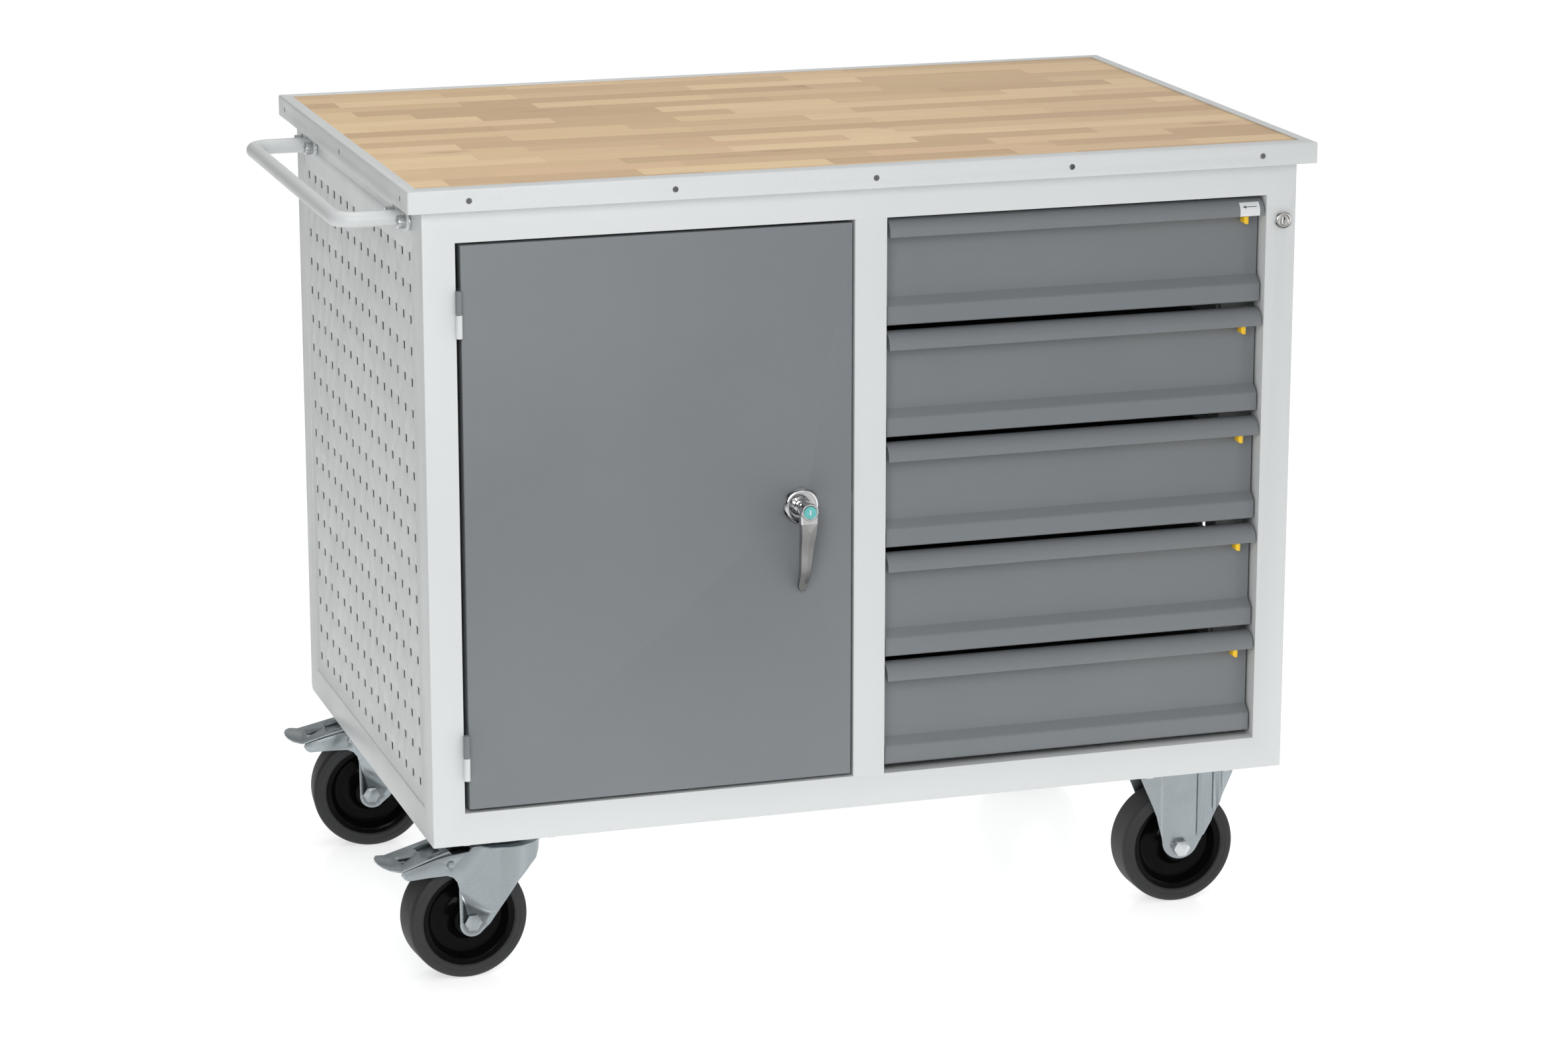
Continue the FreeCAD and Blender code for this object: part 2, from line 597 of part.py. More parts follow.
def drawer_box(z):
    """Open-topped box with a hat-shaped runner along each side."""
    x0, x1 = DRAWER_BOX_X
    y0, y1 = DRAWER_BOX_Y
    z0 = z - BOX_BELOW_LIP
    z1 = z0 + DRAWER_BOX_H
    outer = block(x0, x1, y0, y1, z0, z1)
    box = outer.cut(block(x0 + SHEET, x1 - SHEET, y0 + SHEET, y1 - SHEET, z0 + SHEET, z1 + 1))
    hem = 6.0
    pieces = [
        box,
        block(x0, x0 + hem, y0, y1, z1 - SHEET, z1),
        block(x1 - hem, x1, y0, y1, z1 - SHEET, z1),
    ]
    rail_z = z - RAIL_DROP
    half = 14.0
    for wall, out in ((x0, x0 - 7.0), (x1, x1 + 7.0)):
        low, high = min(wall, out), max(wall, out)
        web = (out, out + SHEET) if out < wall else (out - SHEET, out)
        pieces += [
            block(web[0], web[1], y0 + 10, y1 - 5, rail_z - half, rail_z + half),
            block(low, high, y0 + 10, y1 - 5, rail_z + half - SHEET, rail_z + half),
            block(low, high, y0 + 10, y1 - 5, rail_z - half, rail_z - half + SHEET),
        ]
    return join(pieces)


def channel(x_web, x_lip, y0, y1, z, half):
    """A C-section slide member: web at x_web, flanges towards x_lip."""
    low, high = min(x_web, x_lip), max(x_web, x_lip)
    web = (x_web, x_web + SHEET) if x_lip > x_web else (x_web - SHEET, x_web)
    return join([
        block(web[0], web[1], y0, y1, z - half, z + half),
        block(low, high, y0, y1, z + half - SHEET, z + half),
        block(low, high, y0, y1, z - half, z - half + SHEET),
    ])


def drawer_slide(z):
    """Left and right intermediate slide members of one drawer."""
    rail_z = z - RAIL_DROP
    y0, y1 = RAIL_Y[0] + 2, RAIL_Y[1] - 46
    return [
        channel(573.2, 580.2, y0, y1, rail_z, 19.0),
        channel(1057.3, 1050.3, y0, y1, rail_z, 19.0),
    ]


def drawer_rails():
    """Left and right fixed rails of every drawer, on the slotted posts."""
    rails = []
    for index in range(1, DRAWER_COUNT + 1):
        rail_z = lip_z(index) - RAIL_DROP
        rails.append(channel(570.1, 577.6, RAIL_Y[0], RAIL_Y[1], rail_z, RAIL_HALF))
        rails.append(channel(1060.4, 1052.9, RAIL_Y[0], RAIL_Y[1], rail_z, RAIL_HALF))
    return rails


def drawer_latch(z):
    """Finger latch under the lip's right end, on a bar inside the lip; it slides left."""
    tab = block(1033, 1039, 3.3, 17, z - 10, z + 8)
    low = [e for e in tab.Edges if e.CenterOfMass.z < z - 9.9 and abs(e.CenterOfMass.x - 1033) < 0.1]
    tab = tab.makeChamfer(2.5, low)
    bar = block(880, 1041, 9, 15, z + 3, z + 8)
    return join([tab, bar])


# ------------------------------------------------------------------ cabinet lock
def lock_housing():
    """Round lock body with a domed collar, and its nut behind the frame's face."""
    x, z = LOCK_AXIS
    collar = rod((x, -4.5, z), Y, 10.3, 4.5)
    collar = collar.makeFillet(2.5, [e for e in collar.Edges if e.CenterOfMass.y < -4])
    barrel = rod((x, -1, z), Y, 9.0, 25)
    body = join([collar, barrel]).cut(rod((x, -6, z), Y, 6.5, 40))
    nut = hexagon((x, FRAME_SHEET, z), Y, 22, 4).cut(rod((x, 0, z), Y, 9.05, 8))
    return [body, nut]


def lock_plug():
    """Key plug with its slot, and the short cam on its back end."""
    x, z = LOCK_AXIS
    plug = rod((x, -3.6, z), Y, 6.5 - RUN, 29)
    plug = plug.cut(block(x - 0.9, x + 0.9, -5, 2, z - 4, z + 4))
    cam = join([
        block(x - 5, x + 5, 24.6, 27.0, z - 8, z),
        rod((x, 24.6, z - 7.5), Y, 5, 2.4),
        rod((x, 24.0, z), Y, 6.0, 3.0),
    ])
    return join([plug, cam])


# ------------------------------------------------------------------ casters
PLATE_HALF = (67.5, 55.0)
BOLT_HALF = (52.5, 40.0)
PLATE_T = 4.0
RACE_Z = -15.6
CROWN_Z = (-19.0, -16.0)
KINGPIN_R = 8.0


def caster_places():
    return [(x, y) for x, y, angle in SWIVELS.values()] + list(RIGIDS.values())


def caster_bolt_places():
    return [(x + sx * BOLT_HALF[0], y + sy * BOLT_HALF[1])
            for x, y in caster_places() for sx in (-1, 1) for sy in (-1, 1)]


def caster_bolts():
    """Hexagon bolts up through each caster plate, with nuts inside the base."""
    parts = []
    for x, y in caster_bolt_places():
        head = hexagon((x, y, -PLATE_T - 5.3), Z, 13, 5.3)
        parts.append(join([head, rod((x, y, -PLATE_T - 1), Z, 4.0, 16)]))
        nut = hexagon((x, y, FRAME_SHEET), Z, 13, 6.5)
        parts.append(nut.cut(rod((x, y, 0), Z, 4.05, 12)))
    return parts


def bolt_plate(x, y):
    """A caster's top plate with four holes."""
    plate = block(x - PLATE_HALF[0], x + PLATE_HALF[0], y - PLATE_HALF[1], y + PLATE_HALF[1], -PLATE_T, 0)
    plate = plate.makeFillet(8, [e for e in plate.Edges if abs(e.Length - PLATE_T) < 1e-6])
    holes = [rod((x + sx * BOLT_HALF[0], y + sy * BOLT_HALF[1], -6), Z, 4.4, 8)
             for sx in (-1, 1) for sy in (-1, 1)]
    return plate.cut(holes)


def swivel_plate(x, y):
    """Top plate of a swivel caster, with its ball race housing and king pin."""
    race = Part.makeCone(33, 37, -PLATE_T - RACE_Z, Vector(x, y, RACE_Z), Z)
    pin = rod((x, y, -24), Z, KINGPIN_R, 20)
    nut = hexagon((x, y, -25.2), Z, 19, 5.0)
    return join([bolt_plate(x, y), race, pin, nut])


def leg_outline(foot, foot_r, left_points, right_points):
    """A caster leg in x and z: down the left side, round the foot and up the right side."""
    fx, fz = foot
    left_end = Vector(left_points[-1][0], 0, left_points[-1][1])
    right_start = Vector(right_points[0][0], 0, right_points[0][1])
    bottom = Vector(fx, 0, fz - foot_r)
    corners = [Vector(px, 0, pz) for px, pz in right_points + left_points]
    edges = [Part.LineSegment(a, b).toShape() for a, b in zip(corners[:-1], corners[1:])]
    edges.append(Part.Arc(left_end, bottom, right_start).toShape())
    return Part.Face(Part.Wire(edges))


def wheel_parts():
    """Rim and tyre about the Y axis through the origin."""
    def spin(points):
        corners = [Vector(r, a, 0) for r, a in points]
        return Part.Face(Part.makePolygon(corners + corners[:1])).revolve(Vector(), Y, 360)

    half = WHEEL_W / 2
    bore = AXLE_R + RUN
    side = [(bore, 26.5), (20, 26.5), (21, 16), (28, 8), (46, 8), (52, 20), (TYRE_INNER_R, 22)]
    rim = spin(side + [(r, -a) for r, a in reversed(side)])
    edge = [(TYRE_INNER_R, 22), (61, half), (69, half), (73, half - 2.4), (WHEEL_R, half - 7)]
    tyre = spin(edge + [(r, -a) for r, a in reversed(edge)])
    return rim, tyre


def axle_bolt(x):
    """Hexagon bolt and nut across a fork, about the Y axis at x."""
    head = hexagon((x, -FORK_HALF - 7.5, AXLE_Z), Y, 19, 7.5)
    shank = rod((x, -FORK_HALF - 1, AXLE_Z), Y, AXLE_R, 2 * FORK_HALF + 12)
    bolt = join([head, shank])
    nut = hexagon((x, FORK_HALF, AXLE_Z), Y, 19, 9)
    return [bolt, nut.cut(rod((x, FORK_HALF - 1, AXLE_Z), Y, AXLE_R, 12))]


FORK_CURVE_X = -14.0      # where a swivel fork's flat legs begin to curve round the front
FORK_FRONT_X = 49.0


def fork_plan(half, front, z0, z1):
    """A swivel fork seen from above: straight sides that close in half an ellipse in front."""
    curve = Part.Ellipse(Vector(FORK_CURVE_X, 0, z0), front - FORK_CURVE_X, half).toShape()
    nose = Part.Face(Part.Wire([curve])).extrude(Z * (z1 - z0))
    nose = nose.common(block(FORK_CURVE_X - 1, front + 1, -half, half, z0, z1))
    return join([block(-140, FORK_CURVE_X, -half, half, z0, z1), nose])


def swivel_fork():
    """Pressed fork: round crown, and flat legs with arms over the wheel that join round the front."""
    leg = leg_outline(
        (-TRAIL, AXLE_Z - 2.5), 17.0,
        [(-46, CROWN_Z[1]), (-50, -21), (-76, -23.2), (-93.5, -26.2), (-117, -32.4), (-134.5, -37),
         (-136, -41), (-132.5, -46), (-128, -48.7), (-103, -47.8), (-79, -48), (-71, -51.4),
         (-66, -58), (-64, -66), (-63.6, -112)],
        [(-35, -124), (-25, -115.5), (-11, -97), (0.5, -82.7), (13.5, -66.8), (32.4, -50),
         (40.5, -44.5), (46, -34), (49, CROWN_Z[1])])
    leg.translate(Y * -60)
    envelope = leg.extrude(Y * 120)
    z0, z1 = -140, CROWN_Z[1]
    wall = fork_plan(FORK_HALF, FORK_FRONT_X, z0, z1)
    wall = wall.cut(fork_plan(FORK_HALF - LEG_T, FORK_FRONT_X - LEG_T, z0, z1))
    crown = join([
        rod((1.5, 0, CROWN_Z[0]), Z, 47.0, LEG_T),
        fork_plan(FORK_HALF, FORK_FRONT_X, CROWN_Z[0], CROWN_Z[1]).common(
            block(-46, 60, -60, 60, CROWN_Z[0], CROWN_Z[1])),
    ])
    fork = join([wall.common(envelope), crown])
    px, pz = PEDAL_PIVOT
    fork = fork.cut([
        rod((0, 0, -40), Z, KINGPIN_R + RUN, 40),
        rod((-TRAIL, -60, AXLE_Z), Y, AXLE_R, 120),
        rod((px, -60, pz), Y, 4.0, 120),
    ])
    head = 1.8
    pin = rod((px, -FORK_HALF - head, pz), Y, 4.0, 2 * (FORK_HALF + head))
    return [fork, pin] + axle_bolt(-TRAIL)


DECK_END = -138.0         # crease between the pedal's deck and its tip, in the caster's own frame
PEDAL_T = 2.0


def deck_z(x):
    """Height of the pedal deck's upper face."""
    return -34.1 + 0.28 * (x - DECK_END)


def brake_pedal():
    """Brake pedal over the fork's arms: a flared deck with a window and a recess, and a raised tip."""
    outer = FORK_HALF - LEG_T - 0.5
    flange = [(-132, deck_z(-132) - 0.5), (-128, -42), (-84, -44), (-66, -42), (-64, -34), (-70, -24),
              (-76, deck_z(-76) - 0.5)]

    def plate(y0, y1, points):
        return prism([(x, y0, z) for x, z in points], Y * (y1 - y0))

    def slope(x0, x1, lift):
        return [(x0, deck_z(x0) + lift), (x1, deck_z(x1) + lift),
                (x1, deck_z(x1) + lift - PEDAL_T), (x0, deck_z(x0) + lift - PEDAL_T)]

    half_plan = [(-76, 31), (-92, 31), (DECK_END, 34.4), (-150, 29.5), (-156, 18), (-158.5, 6)]
    near = [(x, -y, -80) for x, y in half_plan]
    far = [(x, y, -80) for x, y in reversed(half_plan)]
    plan = prism(near + far, Z * 80)
    tip_z = deck_z(DECK_END)
    tip = [(DECK_END, tip_z), (-160, tip_z + 4.6),
           (-160, tip_z + 4.6 - PEDAL_T), (DECK_END, tip_z - PEDAL_T)]
    top = join([plate(-40, 40, slope(DECK_END, -76, 0.0)), plate(-40, 40, tip)]).common(plan)
    pedal = join([
        top,
        plate(-outer, PEDAL_T - outer, flange),
        plate(outer - PEDAL_T, outer, flange),
        plate(-outer, outer, slope(-108, -80, -6.0)),
    ])

    def ring(points, lift):
        corners = [Vector(x, y, deck_z(x) + lift) for x, y in points]
        return Part.makePolygon(corners + corners[:1])

    window = Part.makeLoft([
        ring([(-131, -17.5), (-131, 17.5), (-107, 0)], 0.01),
        ring([(-129, -10), (-129, 10), (-114.5, 0)], -PEDAL_T - 0.01),
    ], True, True)
    recess = plate(-20, 20, [(-105, deck_z(-105) + 1), (-84, deck_z(-84) + 1),
                             (-84, deck_z(-84) - 4), (-105, deck_z(-105) - 4)])
    px, pz = PEDAL_PIVOT
    return pedal.cut([window, recess, rod((px, -60, pz), Y, 4.0 + RUN, 120)])


RIGID_RIBS = ((-28, 23), (28, 44), (48, 56))      # pressed panels in a rigid caster's legs


def rigid_bracket(x, y):
    """Rigid caster: top plate and two V-shaped legs with pressed ribs."""
    leg = leg_outline(
        (-1, AXLE_Z + 5), 20.0,
        [(-57, -PLATE_T), (-55.5, -12), (-42, -44), (-33, -66), (-24.5, -100)],
        [(22, -112), (46, -69), (69.5, -16), (71, -PLATE_T)])
    leg.translate(Y * -60)
    envelope = leg.extrude(Y * 120)
    walls = []
    for side in (-1, 1):
        y0, y1 = sorted((side * FORK_HALF, side * (FORK_HALF - LEG_T)))
        walls.append(block(-90, 90, y0, y1, -140, -PLATE_T))
        for a, b in RIGID_RIBS:
            rib = [(a, side * FORK_HALF, -140), (a + 3, side * (FORK_HALF + 2), -140),
                   (b - 3, side * (FORK_HALF + 2), -140), (b, side * FORK_HALF, -140)]
            walls.append(prism(rib, Z * (140 - PLATE_T)).common(block(-90, 90, -60, 60, -96, 0)))
    legs = [wall.common(envelope) for wall in walls]
    for part in legs:
        part.translate(Vector(x + RIGID_AXLE_DX, y, 0))
    bracket = join([bolt_plate(x, y)] + legs)
    return bracket.cut(rod((x + RIGID_AXLE_DX, y - 60, AXLE_Z), Y, AXLE_R + RUN, 120))


def stand(shape, x, y, angle):
    """Turn a caster part about its swivel axis and put it in its place."""
    placed = shape.copy()
    placed.rotate(Vector(), Z, angle)
    placed.translate(Vector(x, y, 0))
    return placed


def write_casters():
    rim, tyre = wheel_parts()
    for name, (x, y, angle) in SWIVELS.items():
        write_node("caster_fork_" + name, *[stand(s, x, y, angle) for s in swivel_fork()])
        write_node("brake_pedal_" + name, stand(brake_pedal(), x, y, angle))
        for kind, shape in (("rim", rim), ("tyre", tyre)):
            hub = shape.copy()
            hub.translate(Vector(-TRAIL, 0, AXLE_Z))
            write_node("wheel_%s_%s" % (kind, name), stand(hub, x, y, angle))
    for name, (x, y) in RIGIDS.items():
        for kind, shape in (("rim", rim), ("tyre", tyre)):
            hub = shape.copy()
            hub.translate(Vector(x + RIGID_AXLE_DX, y, AXLE_Z))
            write_node("wheel_%s_%s" % (kind, name), hub)
    write_node("swivel_caster_plates", *[swivel_plate(x, y) for x, y, angle in SWIVELS.values()])
    write_node("rigid_caster_brackets", *[rigid_bracket(x, y) for x, y in RIGIDS.values()])
    bolts = []
    for x, y in RIGIDS.values():
        bolts += [stand(s, x, y, 0) for s in axle_bolt(RIGID_AXLE_DX)]
    write_node("rigid_caster_axles", *bolts)
    write_node("caster_bolts", *caster_bolts())


# ------------------------------------------------------------------ write every node
def write_cabinet():
    write_node("front_frame", front_frame())
    write_node("side_panel_left", perforated_side(handle_screw_places()))
    write_node("side_panel_right", perforated_side([]).mirror(Vector(CAB_W / 2, 0, 0), X))
    write_node("back_panel", back_panel())
    write_node("base_pan", base_pan())
    write_node("divider_panel", divider_panel())
    write_node("slotted_posts", *slotted_posts())
    write_node("cupboard_shelf", cupboard_shelf())
    write_node("worktop_edge_frame", worktop_edge_frame())
    write_node("worktop_board", worktop_board())
    write_node("worktop_edge_screws", *edge_screws())
    write_node("push_handle", push_handle())
    write_node("push_handle_screws", *push_handle_screws())
    write_node("lock_housing", *lock_housing())
    write_node("lock_plug", lock_plug())


def write_door():
    door_halves, frame_halves, pins = hinge_parts()
    write_node("door_leaf", door_leaf())
    write_node("hinge_door_halves", *door_halves)
    write_node("hinge_frame_halves", *frame_halves)
    write_node("hinge_pins", *pins)
    write_node("handle_rosette", handle_rosette())
    write_node("handle_lever", handle_lever())
    write_node("handle_key_plug", handle_key_plug())
    write_node("latch_cam", latch_cam())


def write_drawers():
    write_node("drawer_rails", *drawer_rails())
    for index in range(1, DRAWER_COUNT + 1):
        z = lip_z(index)
        write_node("drawer_front_%d" % index, drawer_front(z))
        write_node("drawer_box_%d" % index, drawer_box(z))
        write_node("drawer_slide_%d" % index, *drawer_slide(z))
        write_node("drawer_latch_%d" % index, drawer_latch(z))


write_cabinet()
write_door()
write_drawers()
write_casters()
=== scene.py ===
import json
import math
import random

import bmesh
import bpy
from mathutils import Matrix, Vector


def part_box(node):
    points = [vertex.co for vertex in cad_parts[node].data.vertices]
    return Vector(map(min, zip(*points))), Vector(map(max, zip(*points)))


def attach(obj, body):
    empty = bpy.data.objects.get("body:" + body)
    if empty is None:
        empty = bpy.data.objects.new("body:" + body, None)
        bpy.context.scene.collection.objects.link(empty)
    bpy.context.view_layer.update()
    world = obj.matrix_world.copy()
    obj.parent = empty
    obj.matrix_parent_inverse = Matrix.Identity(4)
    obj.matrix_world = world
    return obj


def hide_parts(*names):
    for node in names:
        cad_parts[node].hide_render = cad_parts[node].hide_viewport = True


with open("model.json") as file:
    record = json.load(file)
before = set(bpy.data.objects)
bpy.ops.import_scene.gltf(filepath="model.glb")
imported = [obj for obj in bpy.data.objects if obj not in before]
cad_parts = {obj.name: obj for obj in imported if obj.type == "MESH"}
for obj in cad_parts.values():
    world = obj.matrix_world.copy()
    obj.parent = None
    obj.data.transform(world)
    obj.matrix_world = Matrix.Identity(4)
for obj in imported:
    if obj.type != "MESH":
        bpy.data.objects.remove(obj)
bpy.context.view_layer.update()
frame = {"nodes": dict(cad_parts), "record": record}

# ---------------------------------------------------------------- the cabinet's own frame
# Positions below are in millimetres from the cabinet's lower front left corner, as in the CAD
# source: x to the right, y to the back, z up. at() moves them into the row frame in metres.
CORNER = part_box("front_frame")[0]
MM = 0.001


def at(x, y, z):
    return CORNER + Vector((x, y, z)) * MM


# ---------------------------------------------------------------- material helpers
class Shader:
    """One material: a Principled shader whose inputs are fed by procedural nodes."""

    def __init__(self, name, **values):
        self.mat = bpy.data.materials.new(name)
        self.mat.use_nodes = True
        self.tree = self.mat.node_tree
        self.bsdf = self.tree.nodes["Principled BSDF"]
        for key, value in values.items():
            self.bsdf.inputs[key.replace("_", " ")].default_value = value
        self.coords = self.tree.nodes.new("ShaderNodeTexCoord").outputs["Object"]

    def node(self, kind, **settings):
        made = self.tree.nodes.new(kind)
        for key, value in settings.items():
            setattr(made, key, value)
        return made

    def link(self, source, target):
        self.tree.links.new(source, target)

    def stretched(self, scale, source=None):
        """Coordinates scaled differently along x, y and z."""
        made = self.node("ShaderNodeMapping")
        made.inputs["Scale"].default_value = scale
        self.link(source or self.coords, made.inputs["Vector"])
        return made.outputs["Vector"]

    def noise(self, scale, detail=3.0, roughness=0.55, source=None, distortion=0.0):
        made = self.node("ShaderNodeTexNoise")
        made.inputs["Scale"].default_value = scale
        made.inputs["Detail"].default_value = detail
        made.inputs["Roughness"].default_value = roughness
        made.inputs["Distortion"].default_value = distortion
        self.link(source or self.coords, made.inputs["Vector"])
        return made.outputs["Fac"]

    def ramp(self, source, low, high, start=0.3, end=0.7):
        """Turns a 0 to 1 value into one that runs from low to high between start and end."""
        made = self.node("ShaderNodeMapRange")
        made.inputs["From Min"].default_value = start
        made.inputs["From Max"].default_value = end
        made.inputs["To Min"].default_value = low
        made.inputs["To Max"].default_value = high
        self.link(source, made.inputs["Value"])
        return made.outputs["Result"]

    def colours(self, source, stops):
        made = self.node("ShaderNodeValToRGB")
        stops = [(place, (*colour, 1.0)) for place, colour in stops]
        elements = made.color_ramp.elements
        elements[0].position, elements[0].color = stops[0]
        elements[1].position, elements[1].color = stops[-1]
        for place, colour in stops[1:-1]:
            elements.new(place).color = colour
        self.link(source, made.inputs["Fac"])
        return made.outputs["Color"]

    def maths(self, operation, a, b):
        made = self.node("ShaderNodeMath", operation=operation)
        for socket, value in zip(made.inputs, (a, b)):
            if isinstance(value, (int, float)):
                socket.default_value = value
            else:
                self.link(value, socket)
        return made.outputs[0]

    def blend(self, factor, a, b, how="MIX"):
        made = self.node("ShaderNodeMix", data_type="RGBA", blend_type=how)
        for socket, value in ((made.inputs[0], factor), (made.inputs[6], a), (made.inputs[7], b)):
            if isinstance(value, (int, float)):
                socket.default_value = value
            elif isinstance(value, tuple):
                socket.default_value = (*value, 1.0)
            else:
                self.link(value, socket)
        return made.outputs[2]

    def bump(self, height, strength, distance, after=None):
        made = self.node("ShaderNodeBump")
        made.inputs["Strength"].default_value = strength
        made.inputs["Distance"].default_value = distance
        self.link(height, made.inputs["Height"])
        if after is not None:
            self.link(after, made.inputs["Normal"])
        return made.outputs["Normal"]

    def feed(self, **sources):
        for key, value in sources.items():
            self.link(value, self.bsdf.inputs[key.replace("_", " ")])
        return self.mat


def powder_coat(name, colour, dark, light, roughness, grain=0.035):
    """Baked powder paint: a fine orange-peel surface, faint clouding and handling marks."""
    s = Shader(name, Specular_IOR_Level=0.45)
    cloud = s.noise(2.3, 4.0)
    speck = s.noise(1500.0, 2.0, 0.6)
    peel = s.noise(620.0, 2.0, 0.5)
    smudge = s.noise(9.0, 6.0, 0.7, distortion=1.2)
    base = s.colours(cloud, [(0.25, dark), (0.5, colour), (0.75, light)])
    base = s.blend(s.ramp(speck, 0.0, grain * 2, 0.35, 0.75), base, (0.0, 0.0, 0.0))
    rough = s.maths("ADD", s.ramp(smudge, roughness - 0.07, roughness + 0.05, 0.35, 0.65),
                    s.ramp(speck, -0.03, 0.03))
    normal = s.bump(peel, 0.22, 0.00012, s.bump(s.noise(60.0, 2.0), 0.05, 0.0006))
    return s.feed(Base_Color=base, Roughness=rough, Normal=normal)


def plated(name, colour, tint, roughness, cloud_scale=55.0, marks=0.3, drawn=0.0):
    """Zinc plated steel: cloudy grey-blue film, fine drawing lines and small scuffs."""
    s = Shader(name, Metallic=1.0, Specular_IOR_Level=0.5, Anisotropic=drawn, Anisotropic_Rotation=0.25)
    cloud = s.noise(cloud_scale, 5.0, 0.6, distortion=0.6)
    fine = s.noise(900.0, 2.0, 0.6)
    scuff = s.noise(26.0, 8.0, 0.75, source=s.stretched((1.0, 1.0, 5.0)), distortion=2.0)
    base = s.colours(cloud, [(0.3, tint), (0.52, colour), (0.74, tuple(min(1.0, c * 1.08) for c in colour))])
    base = s.blend(s.ramp(scuff, 0.0, marks, 0.55, 0.8), base, tuple(c * 0.55 for c in colour))
    rough = s.maths("ADD", s.ramp(cloud, roughness - 0.08, roughness + 0.1), s.ramp(fine, -0.03, 0.05))
    normal = s.bump(fine, 0.12, 0.0001, s.bump(s.noise(120.0, 3.0), 0.08, 0.0004))
    return s.feed(Base_Color=base, Roughness=rough, Normal=normal)


def chrome(name, colour, roughness, bands):
    """Polished casting with painted reflection: its colour darkens and brightens in bands with the direction
    a face looks, in place of reflected surroundings.
    """
    s = Shader(name, Metallic=1.0)
    smudge = s.noise(70.0, 6.0, 0.7, distortion=1.5)
    facing = s.node("ShaderNodeTexCoord").outputs["Normal"]
    split = s.node("ShaderNodeSeparateXYZ")
    s.link(facing, split.inputs[0])
    height = s.maths("ADD", s.maths("MULTIPLY", split.outputs["Z"], 0.5), 0.5)
    height = s.maths("ADD", height, s.ramp(s.noise(2.6, 1.0, source=facing), -0.04, 0.04, 0.3, 0.7))
    # painted reflection: the face's direction picks its tone from the bands
    painted_reflection_tones = s.colours(height, [(place, (tone, tone, tone)) for place, tone in bands])
    tint = s.colours(s.noise(30.0), [(0.3, tuple(c * 0.94 for c in colour)), (0.7, colour)])
    base = s.blend(1.0, painted_reflection_tones, tint, "MULTIPLY")
    rough = s.ramp(smudge, roughness, roughness + 0.12, 0.45, 0.8)
    normal = s.bump(s.noise(90.0, 1.0), 0.05, 0.0008)
    return s.feed(Base_Color=base, Roughness=rough, Normal=normal)


def moulded(name, colour, roughness, texture=0.15, spread=0.1):
    """Moulded plastic: slight colour drift and a fine eroded mould texture."""
    s = Shader(name, Specular_IOR_Level=0.5)
    drift = s.noise(45.0, 4.0)
    fine = s.noise(1300.0, 2.0)
    low = tuple(c * (1 - spread) for c in colour)
    high = tuple(min(1.0, c * (1 + spread)) for c in colour)
    base = s.colours(drift, [(0.3, low), (0.7, high)])
    rough = s.ramp(s.noise(140.0, 4.0), roughness - 0.05, roughness + 0.08)
    normal = s.bump(fine, texture, 0.0001)
    return s.feed(Base_Color=base, Roughness=rough, Normal=normal)


def rubber(name, colour):
    """Solid grey tyre rubber: matt, with lighter dust patches and darker pores."""
    s = Shader(name, Specular_IOR_Level=0.35)
    dust = s.noise(38.0, 7.0, 0.7, distortion=1.0)
    pores = s.noise(1100.0, 3.0, 0.6)
    dusty, dustier = (tuple(c * gain for c in colour) for gain in (1.35, 1.9))
    base = s.colours(dust, [(0.3, colour), (0.6, dusty), (0.85, dustier)])
    base = s.blend(s.ramp(pores, 0.0, 0.35, 0.5, 0.8), base, tuple(c * 0.5 for c in colour))
    rough = s.ramp(dust, 0.5, 0.72)
    normal = s.bump(pores, 0.25, 0.0002)
    return s.feed(Base_Color=base, Roughness=rough, Normal=normal)


